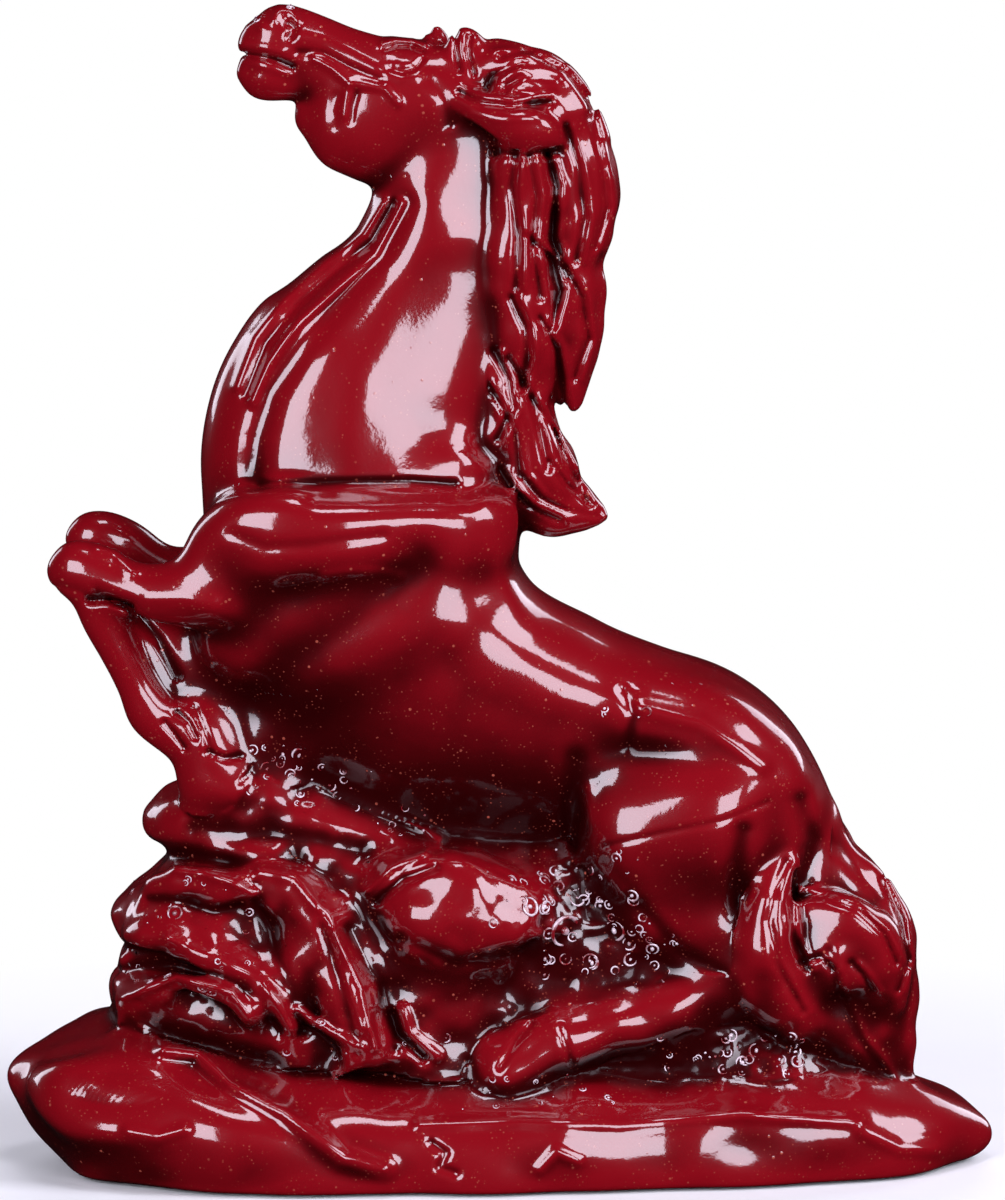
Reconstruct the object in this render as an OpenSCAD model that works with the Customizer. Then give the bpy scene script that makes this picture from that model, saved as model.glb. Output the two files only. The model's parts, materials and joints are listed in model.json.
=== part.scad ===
// Rearing horse on a rocky plinth, a hollow glazed ornament.
// Each node is one casting. The castings meet on their faces, where slip joins them before the glaze.

/* [Overall] */
// Height of the figure on its drawing grid, ground to muzzle
figure_h = 180; // [120:1:300]
// Width from the left tip of the plinth to its right tip
figure_w = 152.8; // [100:0.1:260]
// Depth of the plinth
figure_d = 62.7; // [46:0.1:110]

/* [Castings] */
// Wall of the hollow castings
wall = 4; // [2.5:0.1:5]
// Bore of the firing vent, from the plate up into the hollow body
vent_d = 7; // [4:0.5:9]

/* [Plate and rim] */
// Thickness of the plate that closes the plinth from below
plate_t = 4; // [2.5:0.1:6]
// Width of the foot rim between the plate and the outside of the plinth
rim_w = 6; // [4:0.1:8]
// Height of the rim above the table
rim_lift = 0.4; // [0.2:0.1:1]

/* [Felt pads] */
// Diameter of a pad
pad_d = 10; // [8:0.5:14]
// Thickness of a pad
pad_t = 2.4; // [1.8:0.1:4]
// Depth of the round seat that holds the pad
pad_seat = 0.8; // [0.4:0.1:1.4]
// Clay between a pad's seat and the foot rim
pad_edge = 1.5; // [1:0.1:4]

/* [Hidden] */

glaze = [0.62, 0.02, 0.05];
bisque = [0.86, 0.80, 0.74];
felt = [0.10, 0.10, 0.11];

// The drawing grid has the photograph's pixels as its unit and is seen from slightly above.
// A place is [across, down, depth behind the middle plane].
mid_x_px = 504.6;
ground_y_px = 1161;
span_x_px = 998;
span_y_px = 410;
span_z_px = 1176;
view_pitch = 10;
unit_w = figure_w / span_x_px;
unit_d = figure_d / span_y_px;
unit_h = figure_h / span_z_px;

// A section is [across, down, depth, half height in the plane of the figure, half depth].
trunk_px = [
    [780, 940, 0, 18, 26], [776, 912, 0, 46, 50], [767, 878, 0, 66, 70], [755, 840, 0, 80, 84],
    [737, 800, 0, 90, 94], [698, 768, 0, 99, 100], [635, 744, 0, 100, 102], [562, 728, 0, 115, 108],
    [462, 700, 0, 143, 112], [380, 636, 0, 164, 112], [361, 534, 0, 156, 106],
    [355, 480, 0, 152, 100], [352, 435, 0, 149, 92], [362, 393, 0, 142, 84], [384, 357, 0, 129, 74],
    [404, 319, 0, 116, 64], [424, 281, 0, 95, 54], [437, 246, 0, 80, 48], [444, 214, 0, 73, 46],
    [450, 172, 0, 61, 44], [456, 130, 0, 47, 38]
];
// Where along the trunk the neck casting is joined to the barrel
neck_joint_share = 0.5;
// The stretches that are hollow. Those of the barrel and the neck run past their joint, so they open into each other
barrel_hollow_shares = [0.15, 0.55];
neck_hollow_shares = [0.45, 0.85];
plinth_hollow_shares = [0.15, 0.85];
core_hollow_shares = [0.22, 0.89];

skull_px = [
    [484, 100, 0, 26, 28], [455, 98, 0, 50, 42], [420, 98, 0, 55, 44], [385, 92, 0, 56, 44],
    [345, 72, 0, 48, 38], [310, 53, 0, 42, 32], [285, 46, 0, 44, 31], [262, 47, 0, 40, 28],
    [242, 45, 0, 17, 18]
];
cheek_px = [
    [300, 116, 0, 20, 18], [326, 120, 0, 52, 36], [360, 122, 0, 62, 42], [395, 128, 0, 64, 43],
    [432, 138, 0, 48, 38]
];
chin_px = [
    [312, 82, 0, 18, 18], [284, 80, 0, 27, 23], [260, 78, 0, 25, 23], [242, 73, 0, 12, 14]
];

near_ear_px = [
    [462, 104, -38, 12, 8], [485, 116, -46, 20, 11], [515, 130, -50, 25, 12],
    [542, 138, -48, 20, 10], [564, 147, -42, 5, 4]
];
far_ear_px = [
    [448, 74, 20, 15, 12], [441, 46, 24, 12, 9], [437, 29, 24, 10, 7], [436, 19, 24, 4, 3]
];
forelock_px = [
    [438, 66, -8, 12, 14], [450, 50, -8, 18, 20], [468, 50, -6, 18, 22], [484, 66, -4, 12, 16]
];

mane_crest_px = [
    [466, 72, 0, 20, 30], [498, 66, 0, 30, 40], [534, 79, 0, 34, 44], [560, 103, 0, 37, 44],
    [573, 134, 0, 36, 44], [580, 172, 0, 41, 44], [582, 218, 0, 43, 44], [568, 264, 0, 38, 40],
    [566, 310, 0, 43, 38], [565, 350, 0, 40, 34], [570, 386, 0, 21, 20], [572, 411, 0, 8, 8]
];
mane_lock_px = [
    [498, 92, -30, 18, 20], [522, 140, -36, 26, 24], [526, 200, -38, 28, 24],
    [522, 250, -38, 30, 24], [522, 300, -38, 32, 24], [530, 350, -34, 30, 22], [546, 394, -28, 10, 12]
];
lower_mane_px = [
    [502, 345, -24, 17, 19], [514, 392, -21, 36, 34], [530, 438, -16, 42, 38],
    [542, 476, -10, 50, 38], [558, 504, -6, 39, 34], [580, 515, -6, 22, 24], [604, 518, -6, 6, 8]
];

near_arm_px = [
    [494, 525, -58, 34, 26], [440, 525, -78, 42, 42], [370, 528, -92, 46, 48],
    [300, 545, -100, 50, 48], [240, 575, -100, 54, 46], [190, 602, -92, 38, 36],
    [140, 598, -82, 30, 30], [100, 582, -75, 31, 28], [74, 577, -72, 32, 27], [58, 575, -70, 26, 22],
    [45, 574, -69, 9, 9]
];
near_shin_px = [
    [80, 566, -72, 16, 20], [96, 602, -70, 26, 24], [119, 646, -66, 24, 22],
    [141, 688, -62, 23, 20], [158, 718, -58, 26, 23], [180, 738, -56, 26, 22],
    [204, 752, -54, 32, 26], [222, 768, -52, 37, 30], [238, 786, -52, 28, 26]
];
far_arm_px = [
    [484, 548, 58, 34, 26], [430, 548, 78, 42, 40], [340, 550, 92, 46, 46],
    [260, 562, 92, 50, 44], [200, 578, 78, 42, 34], [160, 568, 68, 27, 24],
    [125, 544, 64, 30, 26], [96, 536, 60, 31, 26], [74, 540, 58, 25, 20], [60, 542, 58, 9, 9]
];
far_shin_px = [
    [92, 532, 60, 14, 14], [108, 568, 60, 24, 20], [132, 622, 60, 22, 19], [156, 676, 58, 22, 19],
    [176, 712, 58, 24, 20], [200, 736, 58, 28, 24], [224, 754, 58, 32, 27], [238, 768, 58, 24, 22]
];

thigh_px = [
    [758, 806, -40, 56, 42], [716, 814, -62, 82, 58], [664, 835, -74, 78, 56],
    [622, 852, -78, 44, 40], [600, 862, -78, 14, 16]
];
gaskin_px = [
    [622, 862, -80, 30, 30], [665, 903, -84, 46, 38], [712, 944, -84, 42, 34],
    [760, 970, -80, 33, 29], [796, 990, -74, 22, 22]
];
hind_cannon_px = [
    [774, 984, -74, 14, 14], [746, 993, -86, 28, 26], [700, 1006, -100, 26, 24],
    [650, 1022, -110, 25, 23], [605, 1035, -116, 24, 23], [565, 1045, -120, 27, 25],
    [530, 1057, -124, 30, 27], [494, 1072, -126, 22, 24]
];
// The web of clay that ties the forelegs to the chest
web_px = [
    [112, 604, -8, 16, 44], [150, 634, -6, 44, 52], [190, 664, -4, 64, 58],
    [235, 694, -2, 80, 66], [300, 738, 0, 84, 74]
];
// How far the far hind leg stands ahead of the near one
far_hind_lead_px = 26;

tail_px = [
    [780, 752, 0, 16, 20], [798, 790, 0, 29, 32], [812, 835, -4, 37, 38], [834, 880, -12, 46, 44],
    [860, 930, -18, 57, 48], [868, 980, -22, 56, 46], [874, 1022, -24, 52, 40],
    [888, 1055, -24, 27, 26], [903, 1085, -26, 9, 12]
];
tail_lock_px = [
    [797, 862, -98, 5, 6], [784, 890, -106, 22, 18], [775, 922, -108, 35, 24],
    [772, 956, -106, 40, 26], [786, 990, -100, 36, 26], [820, 1014, -82, 28, 24],
    [850, 1036, -58, 18, 20]
];

plinth_px = [
    [5, 1077, 0, 8, 12], [20, 1079, 0, 26, 46], [60, 1087, 0, 57, 102], [105, 1096, 0, 81, 156],
    [170, 1110, 0, 93, 188], [260, 1128, 0, 98, 206], [400, 1132, 0, 96, 206],
    [550, 1134, 0, 90, 190], [700, 1134, 0, 84, 168], [820, 1133, 0, 80, 150],
    [890, 1134, 0, 72, 122], [940, 1131, 0, 47, 84], [980, 1134, 0, 28, 46], [1003, 1140, 0, 7, 12]
];
plinth_power = 2.8;

rock_core_px = [
    [124, 950, 0, 16, 30], [146, 950, 0, 56, 66], [182, 946, 0, 102, 92], [250, 938, 0, 164, 112],
    [340, 942, 0, 170, 122], [440, 956, 0, 154, 128], [540, 976, 0, 138, 128],
    [640, 1006, 0, 110, 120], [720, 1040, 0, 70, 108], [800, 1064, 0, 34, 76]
];
front_rock_px = [
    [141, 812, 0, 7, 14], [152, 814, 0, 26, 36], [170, 817, 0, 40, 60], [200, 822, 0, 50, 80],
    [250, 828, 0, 56, 94], [310, 838, 0, 58, 100], [360, 848, 0, 44, 84]
];
upper_scroll_px = [
    [111, 928, 0, 11, 24], [124, 922, 0, 28, 54], [152, 912, 0, 42, 90], [190, 902, 0, 54, 118],
    [240, 912, 0, 56, 134], [290, 932, 0, 40, 132]
];
lower_scroll_px = [
    [113, 970, 0, 6, 16], [124, 980, 0, 28, 52], [155, 992, 0, 42, 96], [205, 1002, 0, 50, 124],
    [255, 1012, 0, 50, 140], [300, 1026, 0, 42, 144], [334, 1042, 0, 20, 122]
];
long_ridge_px = [
    [270, 872, -104, 8, 12], [292, 896, -112, 19, 20], [318, 940, -120, 21, 22],
    [344, 990, -128, 19, 22], [362, 1036, -136, 15, 22], [372, 1062, -140, 8, 14]
];
short_ridge_px = [
    [324, 912, -112, 6, 10], [344, 942, -118, 14, 16], [366, 985, -124, 15, 18],
    [388, 1030, -130, 12, 18], [398, 1054, -134, 6, 12]
];
boulder_px = [
    [380, 882, -96, 12, 16], [408, 884, -108, 36, 32], [455, 896, -116, 52, 40],
    [502, 902, -112, 44, 36], [538, 908, -102, 14, 18]
];
column_px = [
    [456, 920, -108, 44, 28], [448, 970, -116, 44, 30], [438, 1020, -126, 38, 30],
    [430, 1066, -136, 26, 26]
];
mound_px = [
    [684, 1048, 0, 14, 66], [716, 1050, 0, 28, 96], [760, 1053, 0, 31, 108], [806, 1062, 0, 26, 98],
    [846, 1074, 0, 12, 66]
];

// Steps between two drawn sections, and corners of a section
steps = 2;
sides = 16;
small_sides = 12;
rock_sides = 12;
hollow_sides = 12;
// How far a rock's sections swell and shrink, as a share of their size
rock_lump_share = 0.07;

plate_z = pad_t - pad_seat;
plate_top = plate_z + plate_t;
vent_x_px = 430;
vent_top_px = 700;
// Where along the plinth a pad sits at each side
pad_shares = [0.385, 0.62];
over = 1;
// The least half size of a hollow's section, on the grid
least_px = 1;
// How far the middle of a segment reaches into the next one, and how wide that middle is
lap_px = 1.5;
lap_share = 0.5;

// A place on the drawing grid as a point in grid units, with the ground at zero
function grid_place(p) = [
    p[0] - mid_x_px,
    p[2],
    (ground_y_px - p[1] - p[2] * sin(view_pitch)) / cos(view_pitch)
];
function section_value(s) = concat(grid_place(s), [s[3], s[4]]);
function blend_value(a, b, c, d, t) = 0.5 * (
    2 * b + (c - a) * t + (2 * a - 5 * b + 4 * c - d) * t * t + (3 * b - a - 3 * c + d) * t * t * t
);
function smooth_sections(table) =
    let (v = [for (s = table) section_value(s)], last = len(v) - 1)
    concat(
        [for (i = [0:last - 1], k = [0:steps - 1])
            blend_value(v[max(i - 1, 0)], v[i], v[i + 1], v[min(i + 2, last)], k / steps)],
        [v[last]]
    );
function centre(v) = [v[0], v[1], v[2]];
function unit(v) = v / norm(v);
function heading(vs, i) = unit(centre(vs[min(i + 1, len(vs) - 1)]) - centre(vs[max(i - 1, 0)]));
// The number of the drawn section that is nearest to a share of the path
function section_at(table, share) = round(share * (len(table) - 1));
function bulge(c, power) = sign(c) * pow(abs(c), 2 / power);
function lump(a, i, share) = 1 + share * (sin(3 * a + 67 * i) + sin(2 * a - 41 * i)) / 2;
// The corners of section i in millimetres, inset from its outline, or its middle moved on by lap
function outline(vs, i, inset, n, power, share, lap = 0) =
    let (
        t = heading(vs, i),
        side = unit(cross(t, [0, 1, 0])),
        deep = cross(t, side),
        high = max(vs[i][3] - inset / unit_h, least_px),
        wide = max(vs[i][4] - inset / unit_d, least_px)
    )
    [for (k = [0:n - 1])
        let (
            a = 360 * (k + 0.5) / n,
            q = centre(vs[i]) + lap * t + (lap > 0 ? lap_share : 1)
                * lump(a, i, share) * (high * bulge(cos(a), power) * side + wide * bulge(sin(a), power) * deep)
        )
        [q[0] * unit_w, q[1] * unit_d, q[2] * unit_h]];

// A casting's form: the solid through a table of sections, from section first to section last
module form(table, stretch = [0, 1], inset = 0, n = sides, power = 2, share = 0) {
    vs = smooth_sections(table);
    first = section_at(table, stretch[0]) * steps;
    last = section_at(table, stretch[1]) * steps;
    for (i = [first:last - 1])
        hull() polyhedron(
            points = concat(
                outline(vs, i, inset, n, power, share),
                outline(vs, i + 1, inset, n, power, share),
                i + 1 < last ? outline(vs, i + 1, inset, n, power, share, lap_px) : []
            ),
            faces = concat(
                [[for (k = [0:n - 1]) k]],
                [[for (k = [n - 1:-1:0]) (i + 1 < last ? 2 * n : n) + k]],
                [for (j = [0:i + 1 < last ? 1 : 0], k = [0:n - 1])
                    [j * n + k, (j + 1) * n + k, (j + 1) * n + (k + 1) % n, j * n + (k + 1) % n]]
            )
        );
}
module small_form(table) form(table, n = small_sides);
module rock_form(table) form(table, n = rock_sides, share = rock_lump_share);
module hollow(table, stretch, power = 2)
    form(table, stretch, inset = wall, n = hollow_sides, power = power);
module side(far) mirror([0, far ? 1 : 0, 0]) children();
module below(z) {
    size = figure_w * 2;
    translate([-size / 2, -size / 2, z - size]) cube(size);
}

module trunk_form() form(trunk_px);
module barrel_form() form(trunk_px, [0, neck_joint_share]);
module neck_form() form(trunk_px, [neck_joint_share, 1]);
module head_form() {
    form(skull_px);
    small_form(cheek_px);
    small_form(chin_px);
}
module near_foreleg_form() {
    small_form(near_arm_px);
    small_form(near_shin_px);
}
module far_foreleg_form() {
    small_form(far_arm_px);
    small_form(far_shin_px);
}
module haunch_form() {
    small_form(thigh_px);
    small_form(gaskin_px);
}
module hind_side(far) translate([far ? -far_hind_lead_px * unit_w : 0, 0, 0]) side(far) children();
module plinth_form() form(plinth_px, power = plinth_power);
module core_form() rock_form(rock_core_px);
module web_form() small_form(web_px);
module tail_form() small_form(tail_px);
module boulder_form() {
    rock_form(boulder_px);
    rock_form(column_px);
}
module ridges_form() {
    small_form(long_ridge_px);
    small_form(short_ridge_px);
}
module horse_form() {
    trunk_form();
    near_foreleg_form();
    far_foreleg_form();
    web_form();
    for (far = [false, true]) hind_side(far) {
        haunch_form();
        small_form(hind_cannon_px);
    }
}
module vent() {
    top = (ground_y_px - vent_top_px) * unit_h;
    translate([(vent_x_px - mid_x_px) * unit_w, 0, -over]) cylinder(h = top + over, d = vent_d, $fn = 32);
}

// Half the plinth's depth on the ground at a section
function foot_half(s) =
    let (up = grid_place(s)[2] / s[3])
    up < 1 ? s[4] * unit_d * pow(1 - pow(up, plinth_power), 1 / plinth_power) : 0;
plate_sections = [for (s = plinth_px) if (foot_half(s) > 2 * rim_w) s];
module plate_outline() {
    last = len(plate_sections) - 1;
    polygon([for (far = [-1, 1], i = [0:last])
        let (s = plate_sections[far < 0 ? i : last - i])
        [(s[0] - mid_x_px) * unit_w, far * (foot_half(s) - rim_w)]]);
}
module pads(t) {
    for (share = pad_shares, far = [-1, 1]) {
        s = plinth_px[section_at(plinth_px, share)];
        across = foot_half(s) - rim_w - pad_edge - pad_d / 2;
        translate([(s[0] - mid_x_px) * unit_w, far * across, 0]) cylinder(h = t, d = pad_d, $fn = 48);
    }
}
module base_plate() color(bisque) difference() {
    translate([0, 0, plate_z]) linear_extrude(plate_t) plate_outline();
    pads(pad_t);
    vent();
}
module felt_pads() color(felt) pads(pad_t);

module base_shell() color(glaze) difference() {
    plinth_form();
    difference() {
        hollow(plinth_px, plinth_hollow_shares, plinth_power);
        below(plate_top + wall);
    }
    linear_extrude(plate_top) plate_outline();
    below(rim_lift);
    vent();
}
module rock_core() color(glaze) difference() {
    core_form();
    hollow(rock_core_px, core_hollow_shares);
    plinth_form();
    horse_form();
    vent();
}
module front_rock() color(glaze) difference() {
    rock_form(front_rock_px);
    core_form();
    horse_form();
}
module upper_scroll_rock() color(glaze) difference() {
    rock_form(upper_scroll_px);
    core_form();
    rock_form(front_rock_px);
}
module lower_scroll_rock() color(glaze) difference() {
    rock_form(lower_scroll_px);
    core_form();
    rock_form(upper_scroll_px);
    plinth_form();
}
module ridges(far) difference() {
    side(far) ridges_form();
    core_form();
    rock_form(upper_scroll_px);
    rock_form(lower_scroll_px);
    rock_form(front_rock_px);
    plinth_form();
}
module near_ridges() color(glaze) ridges(far = false);
module far_ridges() color(glaze) ridges(far = true);
module boulder(far) difference() {
    side(far) boulder_form();
    core_form();
    side(far) ridges_form();
    plinth_form();
    horse_form();
}
module near_boulder() color(glaze) boulder(far = false);
module far_boulder() color(glaze) boulder(far = true);
module rear_mound() color(glaze) difference() {
    rock_form(mound_px);
    plinth_form();
    core_form();
    horse_form();
    tail_form();
    small_form(tail_lock_px);
}

module barrel() color(glaze) difference() {
    barrel_form();
    hollow(trunk_px, barrel_hollow_shares);
    vent();
}
module neck() color(glaze) difference() {
    neck_form();
    hollow(trunk_px, neck_hollow_shares);
    head_form();
}
module head() color(glaze) head_form();
module near_ear() color(glaze) difference() {
    small_form(near_ear_px);
    head_form();
    neck_form();
}
module far_ear() color(glaze) difference() {
    small_form(far_ear_px);
    head_form();
}
module forelock() color(glaze) difference() {
    small_form(forelock_px);
    head_form();
    small_form(far_ear_px);
    small_form(near_ear_px);
}
module mane_crest() color(glaze) difference() {
    small_form(mane_crest_px);
    head_form();
    neck_form();
    small_form(forelock_px);
    small_form(near_ear_px);
    small_form(far_ear_px);
}
module mane_lock(far) difference() {
    side(far) small_form(mane_lock_px);
    head_form();
    neck_form();
    small_form(mane_crest_px);
    small_form(near_ear_px);
}
module near_mane_lock() color(glaze) mane_lock(far = false);
module far_mane_lock() color(glaze) mane_lock(far = true);
module lower_mane_lock() color(glaze) difference() {
    small_form(lower_mane_px);
    trunk_form();
    small_form(mane_crest_px);
    for (far = [false, true]) side(far) small_form(mane_lock_px);
}
module near_foreleg() color(glaze) difference() {
    near_foreleg_form();
    trunk_form();
    far_foreleg_form();
}
module far_foreleg() color(glaze) difference() {
    far_foreleg_form();
    trunk_form();
}
module foreleg_web() color(glaze) difference() {
    web_form();
    trunk_form();
    near_foreleg_form();
    far_foreleg_form();
}
module haunch(far) difference() {
    hind_side(far) haunch_form();
    barrel_form();
}
module near_haunch() color(glaze) haunch(far = false);
module far_haunch() color(glaze) haunch(far = true);
module hind_cannon(far) difference() {
    hind_side(far) small_form(hind_cannon_px);
    hind_side(far) haunch_form();
    plinth_form();
}
module near_hind_cannon() color(glaze) hind_cannon(far = false);
module far_hind_cannon() color(glaze) hind_cannon(far = true);
module tail() color(glaze) difference() {
    tail_form();
    barrel_form();
    for (far = [false, true]) hind_side(far) haunch_form();
    plinth_form();
}
module near_tail_lock() color(glaze) difference() {
    small_form(tail_lock_px);
    barrel_form();
    haunch_form();
    small_form(hind_cannon_px);
    tail_form();
    plinth_form();
}

base_plate();
felt_pads();
base_shell();
rock_core();
front_rock();
upper_scroll_rock();
lower_scroll_rock();
near_ridges();
far_ridges();
near_boulder();
far_boulder();
rear_mound();
barrel();
neck();
head();
near_ear();
far_ear();
forelock();
mane_crest();
near_mane_lock();
far_mane_lock();
lower_mane_lock();
near_foreleg();
far_foreleg();
foreleg_web();
near_haunch();
far_haunch();
near_hind_cannon();
far_hind_cannon();
tail();
near_tail_lock();
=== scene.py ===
"""A rearing horse on rocks in red glazed ceramic, drawn as one smooth field and cut into its castings."""

import json
import math

import bpy
import numpy as np
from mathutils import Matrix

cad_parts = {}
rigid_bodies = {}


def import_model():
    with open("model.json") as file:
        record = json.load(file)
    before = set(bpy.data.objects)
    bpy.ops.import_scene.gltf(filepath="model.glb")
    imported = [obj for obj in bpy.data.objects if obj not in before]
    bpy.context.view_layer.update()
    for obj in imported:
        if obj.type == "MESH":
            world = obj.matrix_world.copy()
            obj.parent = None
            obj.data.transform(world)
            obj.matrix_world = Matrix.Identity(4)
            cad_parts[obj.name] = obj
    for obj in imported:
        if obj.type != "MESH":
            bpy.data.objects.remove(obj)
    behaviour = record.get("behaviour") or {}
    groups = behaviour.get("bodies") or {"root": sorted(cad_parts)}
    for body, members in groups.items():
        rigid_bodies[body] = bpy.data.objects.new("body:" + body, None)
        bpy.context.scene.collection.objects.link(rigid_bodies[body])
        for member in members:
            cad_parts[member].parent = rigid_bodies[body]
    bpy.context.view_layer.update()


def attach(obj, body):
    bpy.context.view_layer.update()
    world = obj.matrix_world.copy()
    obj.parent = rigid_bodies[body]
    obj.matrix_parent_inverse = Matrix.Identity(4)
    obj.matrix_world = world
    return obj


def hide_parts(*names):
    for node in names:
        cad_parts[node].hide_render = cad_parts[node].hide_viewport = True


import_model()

# The drawing grid counts pixels of the photograph: across, down, and depth behind the middle plane.
SIZE_MM = (152.8, 62.7, 180)
SIZE_PX = (998, 410, 1176)
MM = np.array(SIZE_MM) / SIZE_PX
MID_X, GROUND_Y = 504.6, 1161.0
# The photograph looks down by this angle, in degrees.
LOOKS_DOWN = 10
PITCH = math.radians(LOOKS_DOWN)
SIN, COS = math.sin(PITCH), math.cos(PITCH)
# The plinth's rim stays this far above the ground.
RIM = 0.4 / MM[2]
STEP = 2.6
LOW, HIGH = np.array([-520.0, -222.0, -8.0]), np.array([520.0, 222.0, 1194.0])
COUNT = np.ceil((HIGH - LOW) / STEP).astype(int) + 1
AXES = [(LOW[i] + STEP * np.arange(COUNT[i])).astype(np.float32) for i in range(3)]
CORNERS = [(i, j, k) for i in (0, 1) for j in (0, 1) for k in (0, 1)]
# The distance far from every form, and the room left around one.
FAR, MARGIN = 60.0, 30.0
# A form is worked out exactly from this deep inside it to this far past its margin.
CORE, PAST = 32, 13
# A stroke or a melt reaches this far to both sides of the surface.
TOUCH, MELT_DEPTH = 14, 12
# What stands for the distance where it isn't worked out, deep inside a form.
DEEP = np.float32(-30)
# Flutes fade over this length at both ends of a form, and a skewed section before its last end.
FLUTE_FADE, SKEW_FADE = 30, 160


def place(x, y, w):
    """A place of the drawing on the grid's axes: across, in depth and up."""
    return np.array([x - MID_X, w, (GROUND_Y - y - w * SIN) / COS])


# Each section is across, down, depth, half height in the plane of the figure, half depth.
TRUNK = [
    [780, 940, 0, 18, 26], [776, 912, 0, 46, 50], [767, 878, 0, 66, 70], [755, 840, 0, 80, 84],
    [737, 800, 0, 90, 94], [698, 768, 0, 99, 98], [635, 744, 0, 100, 98], [562, 728, 0, 115, 104],
    [462, 700, 0, 143, 112], [380, 636, 0, 164, 114], [361, 534, 0, 155, 108], [355, 480, 0, 152, 100],
    [352, 435, 0, 149, 92], [364, 393, 0, 139, 84], [388, 357, 0, 125, 74], [409, 319, 0, 110, 64],
    [427, 281, 0, 91, 55], [437, 246, 0, 80, 49], [444, 214, 0, 73, 46], [450, 172, 0, 61, 44],
    [456, 130, 0, 47, 38],
]
SKULL = [
    [484, 101, 0, 24, 28], [455, 100, 0, 49, 42], [420, 100, 0, 54, 44], [385, 93, 0, 53, 42],
    [345, 74, 0, 45, 34], [310, 53, 0, 38, 27], [287, 47, 0, 40, 28], [265, 46, 0, 35, 27],
    [249, 45, 0, 16, 18],
]
CHEEK = [
    [304, 118, 0, 16, 14], [328, 120, 0, 48, 33], [360, 121, 0, 60, 41], [395, 128, 0, 60, 42],
    [432, 138, 0, 42, 34],
]
CHIN = [[312, 82, 0, 17, 18], [284, 80, 0, 24, 22], [260, 78, 0, 24, 22], [244, 73, 0, 11, 13]]
NEAR_EAR = [
    [456, 103, -34, 9, 12], [484, 113, -46, 17, 15], [516, 126, -54, 24, 18], [543, 137, -52, 19, 14],
    [562, 146, -44, 6, 6],
]
FAR_EAR = [[448, 74, 20, 14, 12], [441, 46, 24, 12, 9], [437, 31, 24, 9, 7], [436, 24, 24, 4, 4]]
FORELOCK = [[452, 78, -16, 9, 10], [455, 58, -14, 11, 12], [459, 42, -10, 11, 12], [466, 38, -4, 8, 10]]
FORELOCK_B = [[470, 84, -18, 8, 9], [474, 62, -16, 11, 12], [474, 44, -8, 10, 12], [468, 38, 0, 7, 10]]
CREST = [
    [468, 76, 0, 22, 30], [498, 70, 0, 28, 40], [531, 83, 0, 32, 44], [556, 106, 0, 34, 44],
    [569, 135, 0, 34, 44], [575, 172, 0, 38, 44], [578, 218, 0, 39, 44], [566, 264, 0, 36, 40],
    [565, 310, 0, 40, 38], [564, 350, 0, 36, 34], [570, 386, 0, 19, 20], [573, 408, 0, 8, 8],
]
MANE_ROOT = [
    [506, 250, 0, 16, 26], [506, 320, 0, 20, 32], [500, 390, 0, 20, 38], [500, 440, 0, 22, 44],
    [508, 500, 0, 24, 44],
]
MANE_LOCK = [
    [498, 92, -30, 18, 20], [522, 140, -36, 26, 22], [526, 200, -38, 28, 22], [522, 250, -38, 30, 22],
    [522, 300, -38, 32, 22], [530, 350, -34, 30, 22], [546, 394, -28, 10, 12],
]
LOWER_MANE = [
    [500, 345, -24, 17, 19], [510, 392, -21, 32, 32], [524, 438, -16, 35, 36], [538, 476, -10, 43, 36],
    [556, 501, -6, 37, 32], [582, 511, -6, 22, 22], [604, 515, -6, 7, 8],
]
NEAR_ARM = [
    [500, 524, -52, 32, 30], [462, 526, -76, 38, 43], [400, 528, -85, 42, 50], [330, 530, -94, 44, 54],
    [270, 532, -95, 50, 50], [228, 556, -86, 44, 38], [214, 580, -84, 26, 28],
]
NEAR_FOREARM = [
    [262, 590, -86, 22, 26], [228, 592, -90, 34, 34], [186, 594, -88, 34, 33], [140, 590, -82, 29, 28],
    [104, 576, -76, 30, 27], [80, 570, -72, 33, 27], [62, 572, -70, 27, 22], [50, 573, -69, 11, 10],
]
NEAR_SHIN = [
    [84, 592, -72, 14, 16], [98, 616, -70, 20, 20], [119, 652, -66, 20, 20], [137, 688, -62, 21, 19],
    [150, 712, -59, 26, 23], [168, 730, -57, 24, 22], [186, 742, -56, 24, 22],
]
NEAR_HOOF = [
    [184, 712, -58, 22, 20], [203, 730, -58, 33, 27], [211, 758, -56, 37, 30], [211, 784, -54, 35, 30],
    [209, 806, -50, 26, 24],
]
FAR_ARM = [
    [484, 548, 58, 34, 26], [430, 548, 78, 42, 40], [340, 550, 92, 46, 46], [260, 562, 92, 50, 44],
    [204, 578, 78, 38, 34], [160, 569, 68, 26, 24], [125, 545, 64, 27, 26], [97, 536, 60, 28, 26],
    [76, 540, 58, 23, 20], [65, 542, 58, 9, 9],
]
FAR_SHIN = [
    [92, 532, 60, 14, 14], [108, 568, 60, 23, 20], [132, 622, 60, 21, 19], [156, 676, 58, 21, 19],
    [176, 712, 58, 24, 20], [200, 736, 58, 28, 24], [224, 754, 58, 32, 27], [238, 768, 58, 24, 22],
]
WEB = [
    [112, 604, -8, 16, 44], [150, 634, -6, 44, 52], [190, 664, -4, 64, 58], [235, 694, -2, 80, 66],
    [300, 738, 0, 84, 74],
]
THIGH = [
    [778, 806, -58, 50, 46], [730, 810, -74, 78, 60], [672, 828, -76, 82, 60], [622, 836, -75, 64, 54],
    [596, 846, -72, 30, 30], [582, 848, -70, 10, 12],
]
HIP = [
    [600, 700, -50, 20, 26], [640, 712, -62, 34, 36], [700, 734, -66, 44, 40], [754, 772, -60, 40, 38],
    [790, 816, -48, 22, 26],
]
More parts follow.
